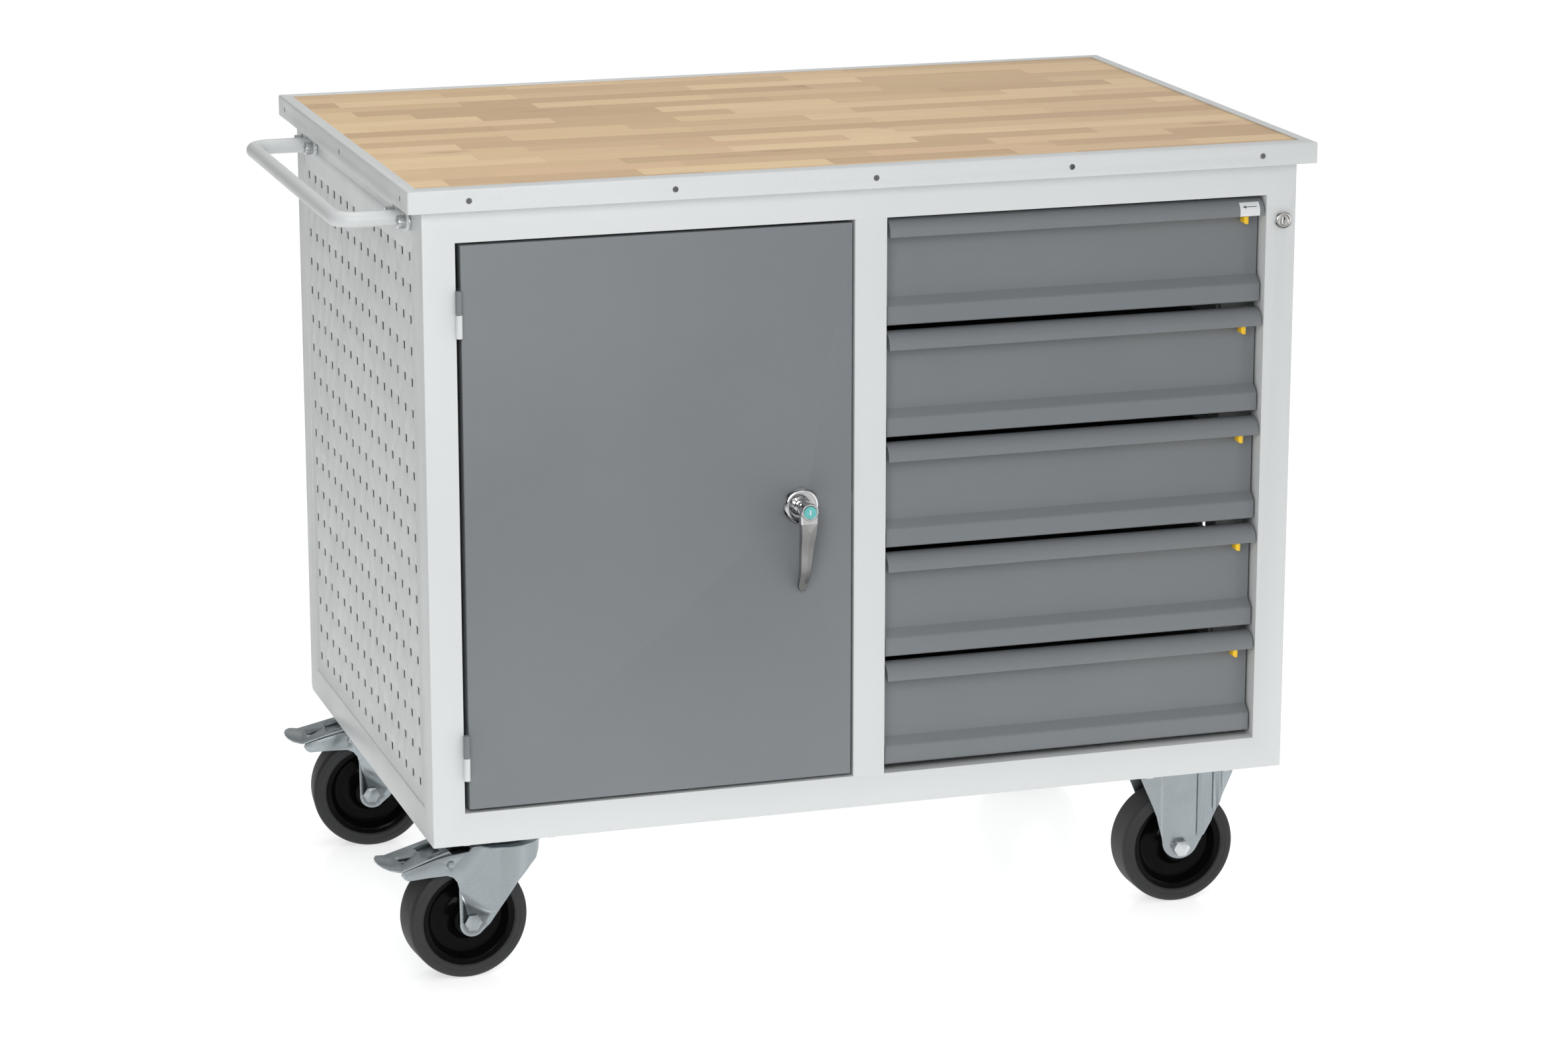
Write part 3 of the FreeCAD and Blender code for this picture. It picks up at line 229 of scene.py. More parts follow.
def oak(name):
    """Oiled laminated oak: each stave has its own tone, grain offset and growth pattern."""
    s = Shader(name, Specular_IOR_Level=0.4)
    stave = s.node("ShaderNodeAttribute", attribute_name="stave")
    rnd = stave.outputs["Color"]
    parts = s.node("ShaderNodeSeparateColor")
    s.link(rnd, parts.inputs["Color"])
    tone, offset, kind = parts.outputs[0], parts.outputs[1], parts.outputs[2]
    shift = s.node("ShaderNodeCombineXYZ")
    s.link(s.maths("MULTIPLY", offset, 7.0), shift.inputs[0])
    s.link(s.maths("MULTIPLY", kind, 5.0), shift.inputs[1])
    s.link(s.maths("MULTIPLY", tone, 3.0), shift.inputs[2])
    moved = s.node("ShaderNodeVectorMath", operation="ADD")
    s.link(s.coords, moved.inputs[0])
    s.link(shift.outputs[0], moved.inputs[1])
    place = moved.outputs[0]
    # cathedral figure: warped bands that run along the stave
    warp = s.noise(5.0, 3.0, 0.5, source=s.stretched((0.5, 3.0, 3.0), place))
    figure = s.node("ShaderNodeTexWave", wave_type="BANDS", bands_direction="Y")
    figure.inputs["Scale"].default_value = 9.0
    figure.inputs["Distortion"].default_value = 14.0
    figure.inputs["Detail"].default_value = 3.0
    figure.inputs["Detail Scale"].default_value = 1.2
    s.link(s.stretched((0.25, 4.0, 4.0), place), figure.inputs["Vector"])
    streak = s.noise(60.0, 5.0, 0.65, source=s.stretched((0.06, 3.2, 3.2), place))
    pore = s.noise(420.0, 2.0, 0.6, source=s.stretched((0.05, 1.6, 1.6), place))
    flake = s.noise(130.0, 3.0, 0.6, source=s.stretched((0.35, 1.2, 1.2), place), distortion=0.8)
    light, mid, dark = (0.939, 0.684, 0.385), (0.620, 0.406, 0.207), (0.478, 0.293, 0.137)
    base = s.colours(tone, [(0.0, (0.638, 0.422, 0.222)), (0.18, (0.754, 0.523, 0.280)),
                            (0.5, (0.838, 0.595, 0.324)), (0.8, (0.913, 0.669, 0.377)),
                            (1.0, (0.771, 0.508, 0.283))])
    base = s.blend(s.ramp(figure.outputs["Fac"], 0.0, 0.13, 0.35, 1.0), base, dark)
    base = s.blend(s.ramp(warp, 0.0, 0.28, 0.55, 0.85), base, mid)
    base = s.blend(s.ramp(streak, 0.0, 0.34, 0.48, 0.8), base, mid)
    base = s.blend(s.ramp(pore, 0.0, 0.40, 0.58, 0.8), base, dark)
    base = s.blend(s.ramp(flake, 0.0, 0.22, 0.62, 0.82), base, light)
    knots = s.node("ShaderNodeTexVoronoi", feature="F1")
    knots.inputs["Scale"].default_value = 5.2
    s.link(s.stretched((0.7, 2.2, 2.2), place), knots.inputs["Vector"])
    base = s.blend(s.ramp(knots.outputs["Distance"], 0.45, 0.0, 0.03, 0.14), base, (0.335, 0.190, 0.084))
    rough = s.ramp(streak, 0.46, 0.34, 0.3, 0.7)
    normal = s.bump(pore, 0.22, 0.00015, s.bump(streak, 0.10, 0.0002))
    return s.feed(Base_Color=base, Roughness=rough, Normal=normal)


LIGHT_GREY = powder_coat("light_grey_powder_coat", (0.724, 0.747, 0.747), (0.702, 0.725, 0.727),
                         (0.746, 0.768, 0.768), 0.40)
MID_GREY = powder_coat("mid_grey_powder_coat", (0.205, 0.222, 0.236), (0.192, 0.209, 0.223),
                       (0.218, 0.236, 0.250), 0.44, 0.05)
OAK = oak("laminated_oak")
# painted reflection: how high a chromed face looks (0 down, 0.5 level, 1 up) against the painted reflected
# tone it gets, which multiplies the tone of its plating
BRIGHT_PAINTED_REFLECTION_BANDS = [(0.0, 0.45), (0.22, 0.30), (0.30, 0.04), (0.37, 0.05), (0.42, 0.60), (0.47, 0.88),
                (0.56, 0.92), (0.70, 0.95), (0.78, 0.20), (0.85, 0.12), (0.91, 0.85), (1.0, 1.0)]
SATIN_PAINTED_REFLECTION_BANDS = [(0.0, 0.18), (0.30, 0.22), (0.42, 0.34), (0.48, 0.52), (0.53, 0.66), (0.60, 0.72),
               (0.72, 0.45), (1.0, 0.9)]
CHROME = chrome("polished_chrome_painted_reflection", (0.95, 0.95, 0.96), 0.05, BRIGHT_PAINTED_REFLECTION_BANDS)
LEVER_CHROME = chrome("duller_chrome_painted_reflection", (0.72, 0.72, 0.71), 0.2, SATIN_PAINTED_REFLECTION_BANDS)
NICKEL = chrome("satin_nickel_painted_reflection", (0.90, 0.89, 0.87), 0.12, BRIGHT_PAINTED_REFLECTION_BANDS)
ZINC = plated("zinc_plated_fastener", (0.60, 0.62, 0.63), (0.44, 0.46, 0.48), 0.26)
# a darker zinc, given to the worktop edge screws
DARK_ZINC = plated("darker_zinc_fastener", (0.26, 0.27, 0.27), (0.16, 0.17, 0.17), 0.30)
CASTER_ZINC = plated("zinc_plated_pressing", (0.340, 0.375, 0.390), (0.300, 0.336, 0.356), 0.30,
                     cloud_scale=14.0, marks=0.12, drawn=0.7)
# painted light: the latch cam's zinc is made near white so its end shows as lit inside the shaded door gap
LATCH_ZINC_PAINTED_LIGHT = plated("latch_zinc_painted_light", (0.86, 0.87, 0.87), (0.78, 0.79, 0.80), 0.34)
SLIDE_ZINC = plated("zinc_plated_strip", (0.42, 0.44, 0.46), (0.32, 0.34, 0.36), 0.36)
RIM = moulded("black_polyamide", (0.0030, 0.0030, 0.0033), 0.13, 0.03, 0.15)
RIM.node_tree.nodes["Principled BSDF"].inputs["Specular IOR Level"].default_value = 0.06
TYRE = rubber("grey_rubber", (0.024, 0.0243, 0.0255))
TREAD = rubber("worn_grey_rubber", (0.034, 0.0325, 0.0315))
TEAL = moulded("teal_plastic", (0.150, 0.520, 0.510), 0.28, 0.05)
YELLOW = moulded("yellow_plastic", (0.930, 0.560, 0.015), 0.38, 0.08)
WHITE_LABEL = moulded("label_film", (0.80, 0.82, 0.83), 0.35, 0.04, 0.03)
LABEL_INK = moulded("label_ink", (0.07, 0.072, 0.078), 0.4, 0.04, 0.1)
# painted shade: a near-black strip stands in for the dark inside of the lock's keyhole, which is not cut
KEYHOLE_PAINTED_SHADE = moulded("keyhole_painted_shade", (0.006, 0.006, 0.006), 0.5, 0.04, 0.1)
BY_SLOT = {
    "light_grey_enamel": LIGHT_GREY, "mid_grey_enamel": MID_GREY, "oak_board": OAK, "handle_chrome": CHROME,
    "lock_nickel": NICKEL, "teal_plastic": TEAL, "yellow_plastic": YELLOW, "zinc_fastener": ZINC,
    "slide_zinc": SLIDE_ZINC, "caster_zinc": CASTER_ZINC, "wheel_rim": RIM, "wheel_tyre": TYRE,
}
# the latch cam takes the near-white zinc, painted light
BY_NODE = {"worktop_edge_screws": DARK_ZINC, "latch_cam": LATCH_ZINC_PAINTED_LIGHT}
NODE_SLOT = {row["node"]: row["material_slot"] for row in frame["record"]["subparts"]}
BODY_OF = {node: body for body, nodes in frame["record"]["behaviour"]["bodies"].items() for node in nodes}
for name, node in frame["nodes"].items():
    node.data.materials.clear()
    node.data.materials.append(BY_NODE.get(name) or BY_SLOT[NODE_SLOT[name]])


# ---------------------------------------------------------------- mesh helpers
def piece(name, mesh, material, body, bevel=0.0, angle=30.0, segments=2):
    """A mesh object that rides on a body, with rounded edges where they are sharper than angle."""
    made = bpy.data.objects.new(name, mesh)
    bpy.context.scene.collection.objects.link(made)
    mesh.materials.clear()
    mesh.materials.append(material)
    for face in mesh.polygons:
        face.use_smooth = True
    if bevel:
        rounding = made.modifiers.new("rounding", "BEVEL")
        rounding.width = bevel * MM
        rounding.segments = segments
        rounding.limit_method = "ANGLE"
        rounding.angle_limit = math.radians(angle)
        rounding.harden_normals = True
        rounding.miter_outer = "MITER_ARC"
    else:
        mesh.set_sharp_from_angle(angle=math.radians(angle))
    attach(made, body)
    return made


def from_bmesh(name, bm):
    mesh = bpy.data.meshes.new(name)
    bm.normal_update()
    bm.to_mesh(mesh)
    bm.free()
    return mesh


def cleaned(node):
    """A copy of a CAD node's mesh with its corners joined and its flat faces made whole."""
    bm = bmesh.new()
    bm.from_mesh(frame["nodes"][node].data)
    bmesh.ops.remove_doubles(bm, verts=bm.verts, dist=0.000002)
    bmesh.ops.dissolve_limit(bm, angle_limit=math.radians(0.4), verts=bm.verts, edges=bm.edges,
                             delimit={"NORMAL"})
    bmesh.ops.triangulate(bm, faces=[f for f in bm.faces if len(f.verts) > 4])
    return bm


def soften(node, bevel, angle=30.0, segments=2):
    """Shows a CAD node as a copy with rounded sheet or casting edges."""
    mesh = from_bmesh(node + "_skin", cleaned(node))
    slot = NODE_SLOT[node]
    material = BY_NODE.get(node) or BY_SLOT[slot]
    made = piece(node + "_skin", mesh, material, BODY_OF[node], bevel, angle, segments)
    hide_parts(node)


# ---------------------------------------------------------------- CAD nodes with rounded edges
SOFT = {
    "front_frame": 0.7, "door_leaf": 0.35, "push_handle": 0.5, "cupboard_shelf": 0.4,
    "hinge_door_halves": 0.25, "hinge_frame_halves": 0.25, "handle_rosette": 0.3, "lock_housing": 0.3,
    "lock_plug": 0.2, "handle_key_plug": 0.35, "push_handle_screws": 0.4, "caster_bolts": 0.4,
    "rigid_caster_axles": 0.5, "rigid_caster_brackets": 0.5, "swivel_caster_plates": 0.5,
    "back_panel": 0.4, "base_pan": 0.4, "latch_cam": 0.4, "side_panel_left": 0.35, "side_panel_right": 0.35,
    "worktop_edge_frame": 0.25,
}
for index in range(1, 6):
    SOFT["drawer_latch_%d" % index] = 0.5
for place in ("front_left", "back_left"):
    SOFT["caster_fork_" + place] = 0.6
    SOFT["brake_pedal_" + place] = 0.5
for node, width in SOFT.items():
    soften(node, width)


# ---------------------------------------------------------------- folded sheet
def rounded(corners, steps=6):
    """A line through (a, b, radius) corners with each corner turned into an arc of that radius."""
    points = [Vector(c[:2]) for c in corners]
    line = []
    for n, (point, corner) in enumerate(zip(points, corners)):
        radius = corner[2]
        if not radius or n in (0, len(points) - 1):
            line.append(point)
            continue
        back = (points[n - 1] - point).normalized()
        on = (points[n + 1] - point).normalized()
        half = back.angle(on) / 2
        centre = point + (back + on).normalized() * (radius / math.sin(half))
        start = point + back * (radius / math.tan(half)) - centre
        sweep = math.pi - 2 * half
        turn = 1 if back.x * on.y - back.y * on.x < 0 else -1
        for step in range(steps + 1):
            a = turn * sweep * step / steps
            line.append(centre + Vector((start.x * math.cos(a) - start.y * math.sin(a),
                                         start.x * math.sin(a) + start.y * math.cos(a))))
    return line


def beside(line, distance):
    """The line moved sideways, to the right of its direction."""
    moved = []
    for n, point in enumerate(line):
        before = (point - line[n - 1]).normalized() if n else None
        after = (line[n + 1] - point).normalized() if n < len(line) - 1 else None
        before, after = before or after, after or before
        along = (before + after).normalized()
        right = Vector((along.y, -along.x))
        moved.append(point + right * (distance / max(0.2, along.dot(after))))
    return moved


def arc_through(a, b, c, steps):
    """Points of the circle through three points, from a to c by way of b."""
    (ax, ay), (bx, by), (cx, cy) = a, b, c
    d = 2 * (ax * (by - cy) + bx * (cy - ay) + cx * (ay - by))
    aa, bb, cc = ax * ax + ay * ay, bx * bx + by * by, cx * cx + cy * cy
    ux = (aa * (by - cy) + bb * (cy - ay) + cc * (ay - by)) / d
    uy = (aa * (cx - bx) + bb * (ax - cx) + cc * (bx - ax)) / d
    angles = [math.atan2(y - uy, x - ux) for x, y in (a, b, c)]
    while angles[1] - angles[0] > math.pi:
        angles[1] -= 2 * math.pi
    while angles[1] - angles[0] < -math.pi:
        angles[1] += 2 * math.pi
    while angles[2] - angles[1] > math.pi:
        angles[2] -= 2 * math.pi
    while angles[2] - angles[1] < -math.pi:
        angles[2] += 2 * math.pi
    radius = math.hypot(ax - ux, ay - uy)
    span = angles[2] - angles[0]
    return [(ux + radius * math.cos(angles[0] + span * n / steps),
             uy + radius * math.sin(angles[0] + span * n / steps), 0) for n in range(steps + 1)]


def extruded(bm, ring, x0, x1, end_pairs=None):
    """A closed outline in y and z drawn out along x; end_pairs splits the ends of a bent sheet."""
    left = [bm.verts.new(at(x0, p[0], p[1])) for p in ring]
    right = [bm.verts.new(at(x1, p[0], p[1])) for p in ring]
    count = len(ring)
    for n in range(count):
        bm.faces.new((left[n], left[(n + 1) % count], right[(n + 1) % count], right[n]))
    if end_pairs is None:
        bm.faces.new(left[::-1])
        bm.faces.new(right)
        return
    for n in range(end_pairs - 1):
        m = count - 1 - n
        bm.faces.new((left[n + 1], left[n], left[m], left[m - 1]))
        bm.faces.new((right[n], right[n + 1], right[m - 1], right[m]))


def folded(bm, line, thickness, x0, x1):
    """A bent sheet: the line is its outer face, and the thickness lies to the line's right."""
    inner = beside(line, thickness)
    extruded(bm, list(line) + inner[::-1], x0, x1, len(line))


# ---------------------------------------------------------------- drawer fronts
LIP_Z = [710.0 - 138.3 * n for n in range(5)]
FRONT_X = (573.6, 1058.0)
ROLL = arc_through((0.0, 8.0), (6.5, 17.2), (22.0, 21.0), 18)  # outer face of the rolled lip


def drawer_front(index):
    """Folded front with its rolled lip, recessed flat, bevel, lower step and closed lip ends."""
    z = LIP_Z[index - 1]
    x0, x1 = FRONT_X
    corners = [(2.8, 0, 0), (0, 0, 1.3)] + ROLL[:-1] + [
        (22.0, 21.0, 0.9), (22.0, -76.5, 2.4), (10.5, -87, 3.2), (10.5, -107.5, 1.2), (28.0, -107.5, 0)]
    line = rounded([(y, z + up, r) for y, up, r in corners])
    bm = bmesh.new()
    folded(bm, line, 1.5, x0, x1)
    cap = [(0.15, z + 0.3)] + [(y + 0.12, z + up - 0.12) for y, up, r in ROLL] + [(21.9, z + 0.3)]
    for a, b in ((x0, x0 + 1.2), (x1 - 1.2, x1)):
        extruded(bm, cap[::-1], a, b)
    bmesh.ops.recalc_face_normals(bm, faces=bm.faces)
    mesh = from_bmesh("drawer_front_skin_%d" % index, bm)
    made = piece("drawer_front_skin_%d" % index, mesh, MID_GREY, "drawer_%d" % index,
                 bevel=0.3, angle=50)
    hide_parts("drawer_front_%d" % index)


for index in range(1, 6):
    drawer_front(index)


# ---------------------------------------------------------------- worktop board
def worktop_board():
    """Oak staves glued side by side, each a block of its own with hair-fine joints."""
    draw = random.Random(11)
    low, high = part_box("worktop_board")
    rows = 19
    depth = (high.y - low.y) / rows
    length = 0.235  # of one stave
    starts = (0.057, 0.205, 0.127)
    bm = bmesh.new()
    tone = bm.loops.layers.color.new("stave")
    last = 0  # where the row before starts, so that no two rows in line have the same joints
    for row in range(rows):
        last = draw.choice([n for n in range(3) if n != last])
        edges = [low.x]
        x = low.x + starts[last] + draw.uniform(-0.004, 0.004)
        while x < high.x - 0.02:
            edges.append(x)
            x += length + draw.uniform(-0.001, 0.001)
        edges.append(high.x)
        y0, y1 = low.y + row * depth, low.y + (row + 1) * depth
        for x0, x1 in zip(edges[:-1], edges[1:]):
            made = bmesh.ops.create_cube(bm, size=1.0)["verts"]
            lift = draw.uniform(0.0, 0.00004)
            centre = Vector(((x0 + x1) / 2, (y0 + y1) / 2, (low.z + high.z) / 2))
            size = Vector((x1 - x0, y1 - y0, high.z - low.z - 2 * lift))
            for v in made:
                v.co = centre + Vector((v.co.x * size.x, v.co.y * size.y, v.co.z * size.z))
            colour = (draw.random(), draw.random(), draw.random(), 1.0)
            for face in set(f for v in made for f in v.link_faces):
                for loop in face.loops:
                    loop[tone] = colour
    mesh = from_bmesh("oak_staves", bm)
    board = piece("oak_staves", mesh, OAK, "cabinet", bevel=0.18, segments=1)
    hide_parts("worktop_board")


worktop_board()


# ---------------------------------------------------------------- drawer label
def drawer_label():
    """Blank white label with a small arrow, wrapped over the right end of the top drawer's lip."""
    z = LIP_Z[0]
    line = [(-0.2, z + 0.6), (-0.2, z + 8.0)] + [(y - 0.17, z + up + 0.12) for y, up, r in ROLL[1:8]]
    bm = bmesh.new()
    folded(bm, [Vector(p) for p in line], 0.15, 1026.5, 1052.5)
    bmesh.ops.recalc_face_normals(bm, faces=bm.faces)
    mesh = from_bmesh("drawer_label", bm)
    piece("drawer_label", mesh, WHITE_LABEL, "drawer_1", bevel=0.04)
    # the arrow lies on the label's upper half, so its points follow the roll
    lengths = [0.0]
    for (y0, z0), (y1, z1) in zip(line[:-1], line[1:]):
        lengths.append(lengths[-1] + math.hypot(y1 - y0, z1 - z0))

    def on_label(along, lift):
        n = max(k for k in range(len(line) - 1) if lengths[k] <= along)
        (y0, z0), (y1, z1) = line[n], line[n + 1]
        t = (along - lengths[n]) / (lengths[n + 1] - lengths[n])
        off = Vector((y1 - y0, z1 - z0)).normalized() * lift
        return y0 + (y1 - y0) * t - off.y, z0 + (z1 - z0) * t + off.x

    outline = [(0, 0), (4.4, 1.9), (4.4, 0.42), (18.5, 0.42), (18.5, -0.42), (4.4, -0.42), (4.4, -1.9)]
    bm = bmesh.new()
    layers = [[bm.verts.new(at(1030.0 + a, *on_label(11.6 + b, lift))) for a, b in outline]
              for lift in (0.22, 0.05)]
    for ring in layers:
        bm.faces.new((ring[0], ring[1], ring[6]))
        bm.faces.new((ring[2], ring[3], ring[4], ring[5]))
    near, far = layers
    for n in range(7):
        m = (n + 1) % 7
        bm.faces.new((near[n], near[m], far[m], far[n]))
    bmesh.ops.recalc_face_normals(bm, faces=bm.faces)
    piece("label_arrow", from_bmesh("label_arrow", bm), LABEL_INK, "drawer_1")


drawer_label()


# ---------------------------------------------------------------- door lever
def door_lever():
    """Cast lever: round head, a triangular facet below it, and a ridged arm that bends to the door."""
    cx, cz = 461.5, 389.0
    # drop below the axis, half width, depth of the ridge, depth of the side edges, depth of the back
    sections = [
        (0.0, 10.9, 37.0, 36.2, 25.5), (8.0, 10.7, 37.0, 36.2, 25.5), (14.8, 10.4, 37.0, 36.2, 25.3),
        (25.0, 9.9, 38.7, 34.8, 24.0), (34.0, 9.4, 36.2, 32.2, 22.2), (41.0, 9.0, 33.4, 29.5, 20.0),
        (50.0, 8.4, 30.6, 26.9, 17.9), (60.0, 7.8, 28.2, 24.8, 16.2), (70.0, 7.4, 26.0, 22.9, 14.7),
        (78.0, 7.1, 23.4, 20.6, 12.9), (85.0, 6.9, 19.7, 17.3, 10.2), (91.0, 6.6, 15.5, 13.7, 7.0),
        (96.0, 6.3, 11.6, 10.2, 4.4), (100.5, 5.7, 8.8, 8.0, 3.2), (103.4, 4.6, 7.5, 7.1, 3.6),
        (104.8, 3.0, 6.7, 6.5, 4.6),
    ]
    bm = bmesh.new()
    rings = []
    for drop, w, ridge, edge, back in sections:
        flat = w * (0.86 if drop < 15 else 0.0)
        dent = 0.9 if 14 < drop < 15 else 0.0
        outline = [(-w, -(edge - 1.3)), (-w + 0.9, -edge), (-flat, -ridge), (0.0, dent - ridge),
                   (flat, -ridge), (w - 0.9, -edge), (w, -(edge - 1.3)), (w, -(back + 2.0)),
                   (w - 1.8, -back), (-w + 1.8, -back), (-w, -(back + 2.0))]
        rings.append([bm.verts.new(at(cx + x, y, cz - drop)) for x, y in outline])
    count = len(rings[0])
    for upper, lower in zip(rings[:-1], rings[1:]):
        for n in range(count):
            m = (n + 1) % count
            bm.faces.new((upper[n], upper[m], lower[m], lower[n]))
    bm.faces.new(rings[0])
    bm.faces.new(rings[-1][::-1])
    bmesh.ops.remove_doubles(bm, verts=bm.verts, dist=0.00001)

    # head, collar and spindle, turned about the handle's axis, with the key plug's recess
    turned = [
        (7.9, -37.3), (8.4, -37.6), (10.2, -37.4), (10.9, -36.8), (11.1, -36.0), (11.1, -26.4),
        (10.7, -25.4), (9.4, -24.6), (8.6, -23.6), (8.6, -21.2), (9.9, -20.2), (10.3, -18.8),
        (9.9, -17.4), (8.4, -16.4), (7.9, -15.2), (7.9, -8.4), (9.4, -7.4), (10.2, -6.5),
        (10.2, -5.4), (7.9, -5.0), (7.7, -5.0), (7.7, -33.0),
    ]
    steps = 72
    circles = []
    for n in range(steps):
        a = 2 * math.pi * n / steps
        circles.append([bm.verts.new(at(cx + r * math.cos(a), y, cz + r * math.sin(a))) for r, y in turned])
    for n in range(steps):
        here, there = circles[n], circles[(n + 1) % steps]
        for k in range(len(turned)):
            m = (k + 1) % len(turned)
            bm.faces.new((here[k], here[m], there[m], there[k]))
    bmesh.ops.recalc_face_normals(bm, faces=bm.faces)
    mesh = from_bmesh("door_lever", bm)
    made = piece("door_lever", mesh, CHROME, "door_handle", bevel=0.22, angle=14)
    # the arm below the key gets the duller, darker chrome and the head the bright one; both carry painted
    # reflection bands
    made.data.materials.append(LEVER_CHROME)
    for face in made.data.polygons:
        face.material_index = int((face.center - at(cx, 0, cz)).z < -0.016)
    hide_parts("handle_lever")


def inlay(name, centre, size, material, body):
    """A small rounded strip let into a key plug's face."""
    bm = bmesh.new()
    spread = Matrix.Diagonal((*(v * MM for v in size), 1.0))
    bmesh.ops.create_cube(bm, size=1.0, matrix=Matrix.Translation(at(*centre)) @ spread)
    piece(name, from_bmesh(name, bm), material, body, bevel=0.25)


door_lever()
inlay("door_key_slot", (461.5, -38.4, 389.0), (1.7, 0.6, 6.2), WHITE_LABEL, "door_key_plug")
lock_face = (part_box("lock_plug")[0].y - CORNER.y) / MM
# painted shade: the keyhole is a near-black strip on the plug's face, not a cut slot
inlay("lock_keyhole_painted_shade", (1083.6, lock_face, 702.4), (2.6, 0.5, 5.6), KEYHOLE_PAINTED_SHADE,
      BODY_OF["lock_plug"])
# painted highlight: a small white strip inside the keyhole stands in for a glint in the key slot
inlay("lock_key_painted_glint", (1084.2, lock_face - 0.15, 702.0), (1.0, 0.5, 4.6), WHITE_LABEL,
      BODY_OF["lock_plug"])


# ---------------------------------------------------------------- wheels
TREAD_RADIUS = 0.0743


def lathe(name, profile, node, angle, material, segments=144, tread=None):
    """A closed (radius, across) profile turned about a wheel's axle, in metres."""
    low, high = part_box(node)
    placed = Matrix.Translation((low + high) / 2) @ Matrix.Rotation(math.radians(angle), 4, "Z")
    bm = bmesh.new()
    rings = []
    for n in range(segments):
        turn = 2 * math.pi * n / segments
        rings.append([bm.verts.new(placed @ Vector((r * math.cos(turn), a, r * math.sin(turn))))
                      for r, a in profile])
    count = len(profile)
    for n in range(segments):
        here, there = rings[n], rings[(n + 1) % segments]
        for k in range(count):
            m = (k + 1) % count
            bm.faces.new((here[k], here[m], there[m], there[k]))
    bmesh.ops.recalc_face_normals(bm, faces=bm.faces)
    bm.faces.index_update()
    middle = placed.translation
    axle = placed.to_3x3() @ Vector((0, 1, 0))
    outer = set()
    for face in bm.faces:
        off = face.calc_center_median() - middle
        if (off - axle * off.dot(axle)).length > TREAD_RADIUS:
            outer.add(face.index)
    made = piece(name, from_bmesh(name, bm), material, BODY_OF[node], angle=22)
    if tread:
        made.data.materials.append(tread)
        for face in made.data.polygons:
            face.material_index = int(face.index in outer)
    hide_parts(node)


def both_sides(profile):
    return [(r * MM, a * MM) for r, a in profile + [(r, -a) for r, a in reversed(profile)]]


TYRE_PROFILE = both_sides([
    (58.15, 21.6), (58.5, 23.2), (59.4, 24.2), (60.3, 24.9), (61.0, 25.0), (61.6, 24.6), (62.4, 24.55),
    (65.0, 24.75), (65.5, 25.2), (66.1, 25.35), (66.9, 25.35), (67.4, 25.1), (67.8, 24.8), (69.6, 24.7),
    (71.4, 24.1), (72.8, 23.1), (73.5, 22.4), (74.0, 21.6), (74.6, 19.9), (74.9, 18.0), (75.0, 12.0),
    (75.0, 4.0)])
RIM_PROFILE = both_sides([
    (6.1, 26.0), (6.6, 26.5), (12.5, 26.5), (13.0, 26.1), (18.6, 26.1), (19.5, 25.8), (20.0, 25.0),
    (20.6, 18.0), (21.3, 15.6), (23.0, 13.4), (27.0, 9.9), (29.5, 8.4), (32.0, 8.0), (42.5, 8.0),
    (45.5, 8.9), (47.3, 11.0), (50.3, 17.6), (51.6, 19.6), (53.4, 20.6), (56.4, 21.1), (57.6, 21.5),
    (58.0, 21.2)])
for place, angle in (("front_left", 5.0), ("back_left", -6.5), ("front_right", 0.0), ("back_right", 0.0)):
    lathe("tyre_" + place, TYRE_PROFILE, "wheel_tyre_" + place, angle, TYRE, tread=TREAD)
    lathe("rim_" + place, RIM_PROFILE, "wheel_rim_" + place, angle, RIM)


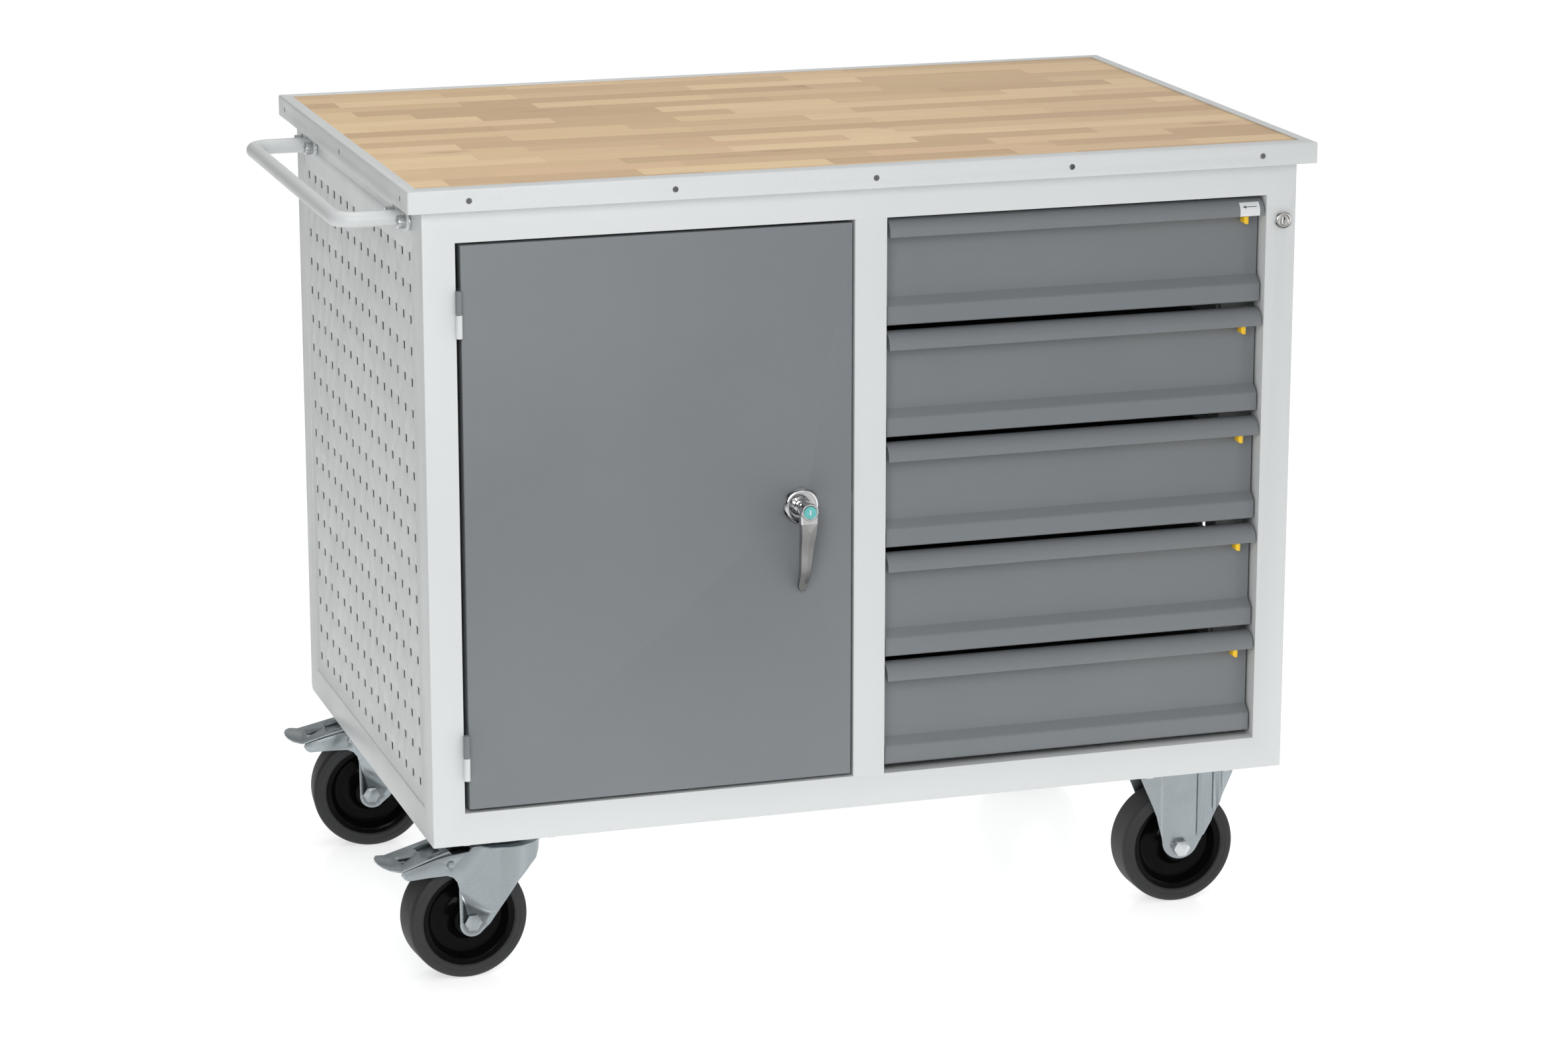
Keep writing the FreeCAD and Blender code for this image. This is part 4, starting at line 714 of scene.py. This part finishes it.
# ---------------------------------------------------------------- camera, floor and light
def studio():
    camera = bpy.data.objects.new("camera", bpy.data.cameras.new("camera"))
    bpy.context.scene.collection.objects.link(camera)
    camera.location = at(-1171.5, -5088.8, 1751.5)
    camera.rotation_euler = (math.radians(90 - 14.466), 0.0, math.radians(-17.574))
    camera.data.sensor_width = 36.0
    camera.data.lens = 6912.3 / 2370 * 36.0
    camera.data.clip_end = 100.0
    bpy.context.scene.camera = camera

    bm = bmesh.new()
    bmesh.ops.create_grid(bm, x_segments=4, y_segments=4, size=20.0)
    mesh = from_bmesh("floor", bm)
    floor = bpy.data.objects.new("floor", mesh)
    bpy.context.scene.collection.objects.link(floor)
    s = Shader("studio_floor", Specular_IOR_Level=0.5)
    s.bsdf.inputs["Emission Color"].default_value = (1.0, 1.0, 1.0, 1.0)
    depth = s.node("ShaderNodeVectorMath", operation="DOT_PRODUCT")
    s.link(s.coords, depth.inputs[0])
    depth.inputs[1].default_value = (0.302, 0.953, 0.0)
    s.link(s.ramp(depth.outputs["Value"], 0.05, 0.62, -1.35, -0.72), s.bsdf.inputs["Emission Strength"])
    base = s.colours(s.noise(3.0), [(0.3, (0.72, 0.72, 0.72)), (0.7, (0.75, 0.75, 0.75))])
    mesh.materials.append(s.feed(Base_Color=base, Roughness=s.ramp(s.noise(40.0), 0.16, 0.22)))

    def lamp(name, place, target, size, power):
        light = bpy.data.lights.new(name, "AREA")
        light.shape = "RECTANGLE"
        light.size, light.size_y = size
        light.energy = power
        obj = bpy.data.objects.new(name, light)
        bpy.context.scene.collection.objects.link(obj)
        obj.location = place
        obj.rotation_euler = (Vector(target) - Vector(place)).to_track_quat("-Z", "Y").to_euler()

    lamp("key", (-1.05, -2.3, 1.6), (-0.1, -0.3, 0.5), (1.4, 1.4), 25.5)
    lamp("front", (0.3, -3.4, 2.2), (0.1, -0.3, 0.5), (2.0, 2.0), 5.5)
    lamp("low_left", (-1.4, -2.6, 0.9), (-0.3, -0.3, 0.5), (0.4, 0.4), 2.0)
    lamp("strip", (1.9, -1.7, 0.6), (0.0, -0.3, 0.4), (0.35, 1.1), 2.0)
    lamp("top", (-0.6, 0.3, 3.4), (-0.1, 0.0, 0.9), (2.4, 2.0), 24.0)

    world = bpy.data.worlds.new("studio")
    world.use_nodes = True
    bpy.context.scene.world = world
    tree = world.node_tree
    background = tree.nodes["Background"]
    coords = tree.nodes.new("ShaderNodeTexCoord")
    split = tree.nodes.new("ShaderNodeSeparateXYZ")
    tree.links.new(coords.outputs["Generated"], split.inputs[0])
    bright = tree.nodes.new("ShaderNodeMapRange")
    bright.inputs["From Min"].default_value = -0.9
    bright.inputs["From Max"].default_value = 0.5
    bright.inputs["To Min"].default_value = 0.01
    bright.inputs["To Max"].default_value = 0.69
    tree.links.new(split.outputs["X"], bright.inputs["Value"])
    tree.links.new(bright.outputs["Result"], background.inputs["Strength"])
    background.inputs["Color"].default_value = (1.0, 1.0, 1.0, 1.0)
    bpy.context.scene.view_settings.view_transform = "Standard"


studio()
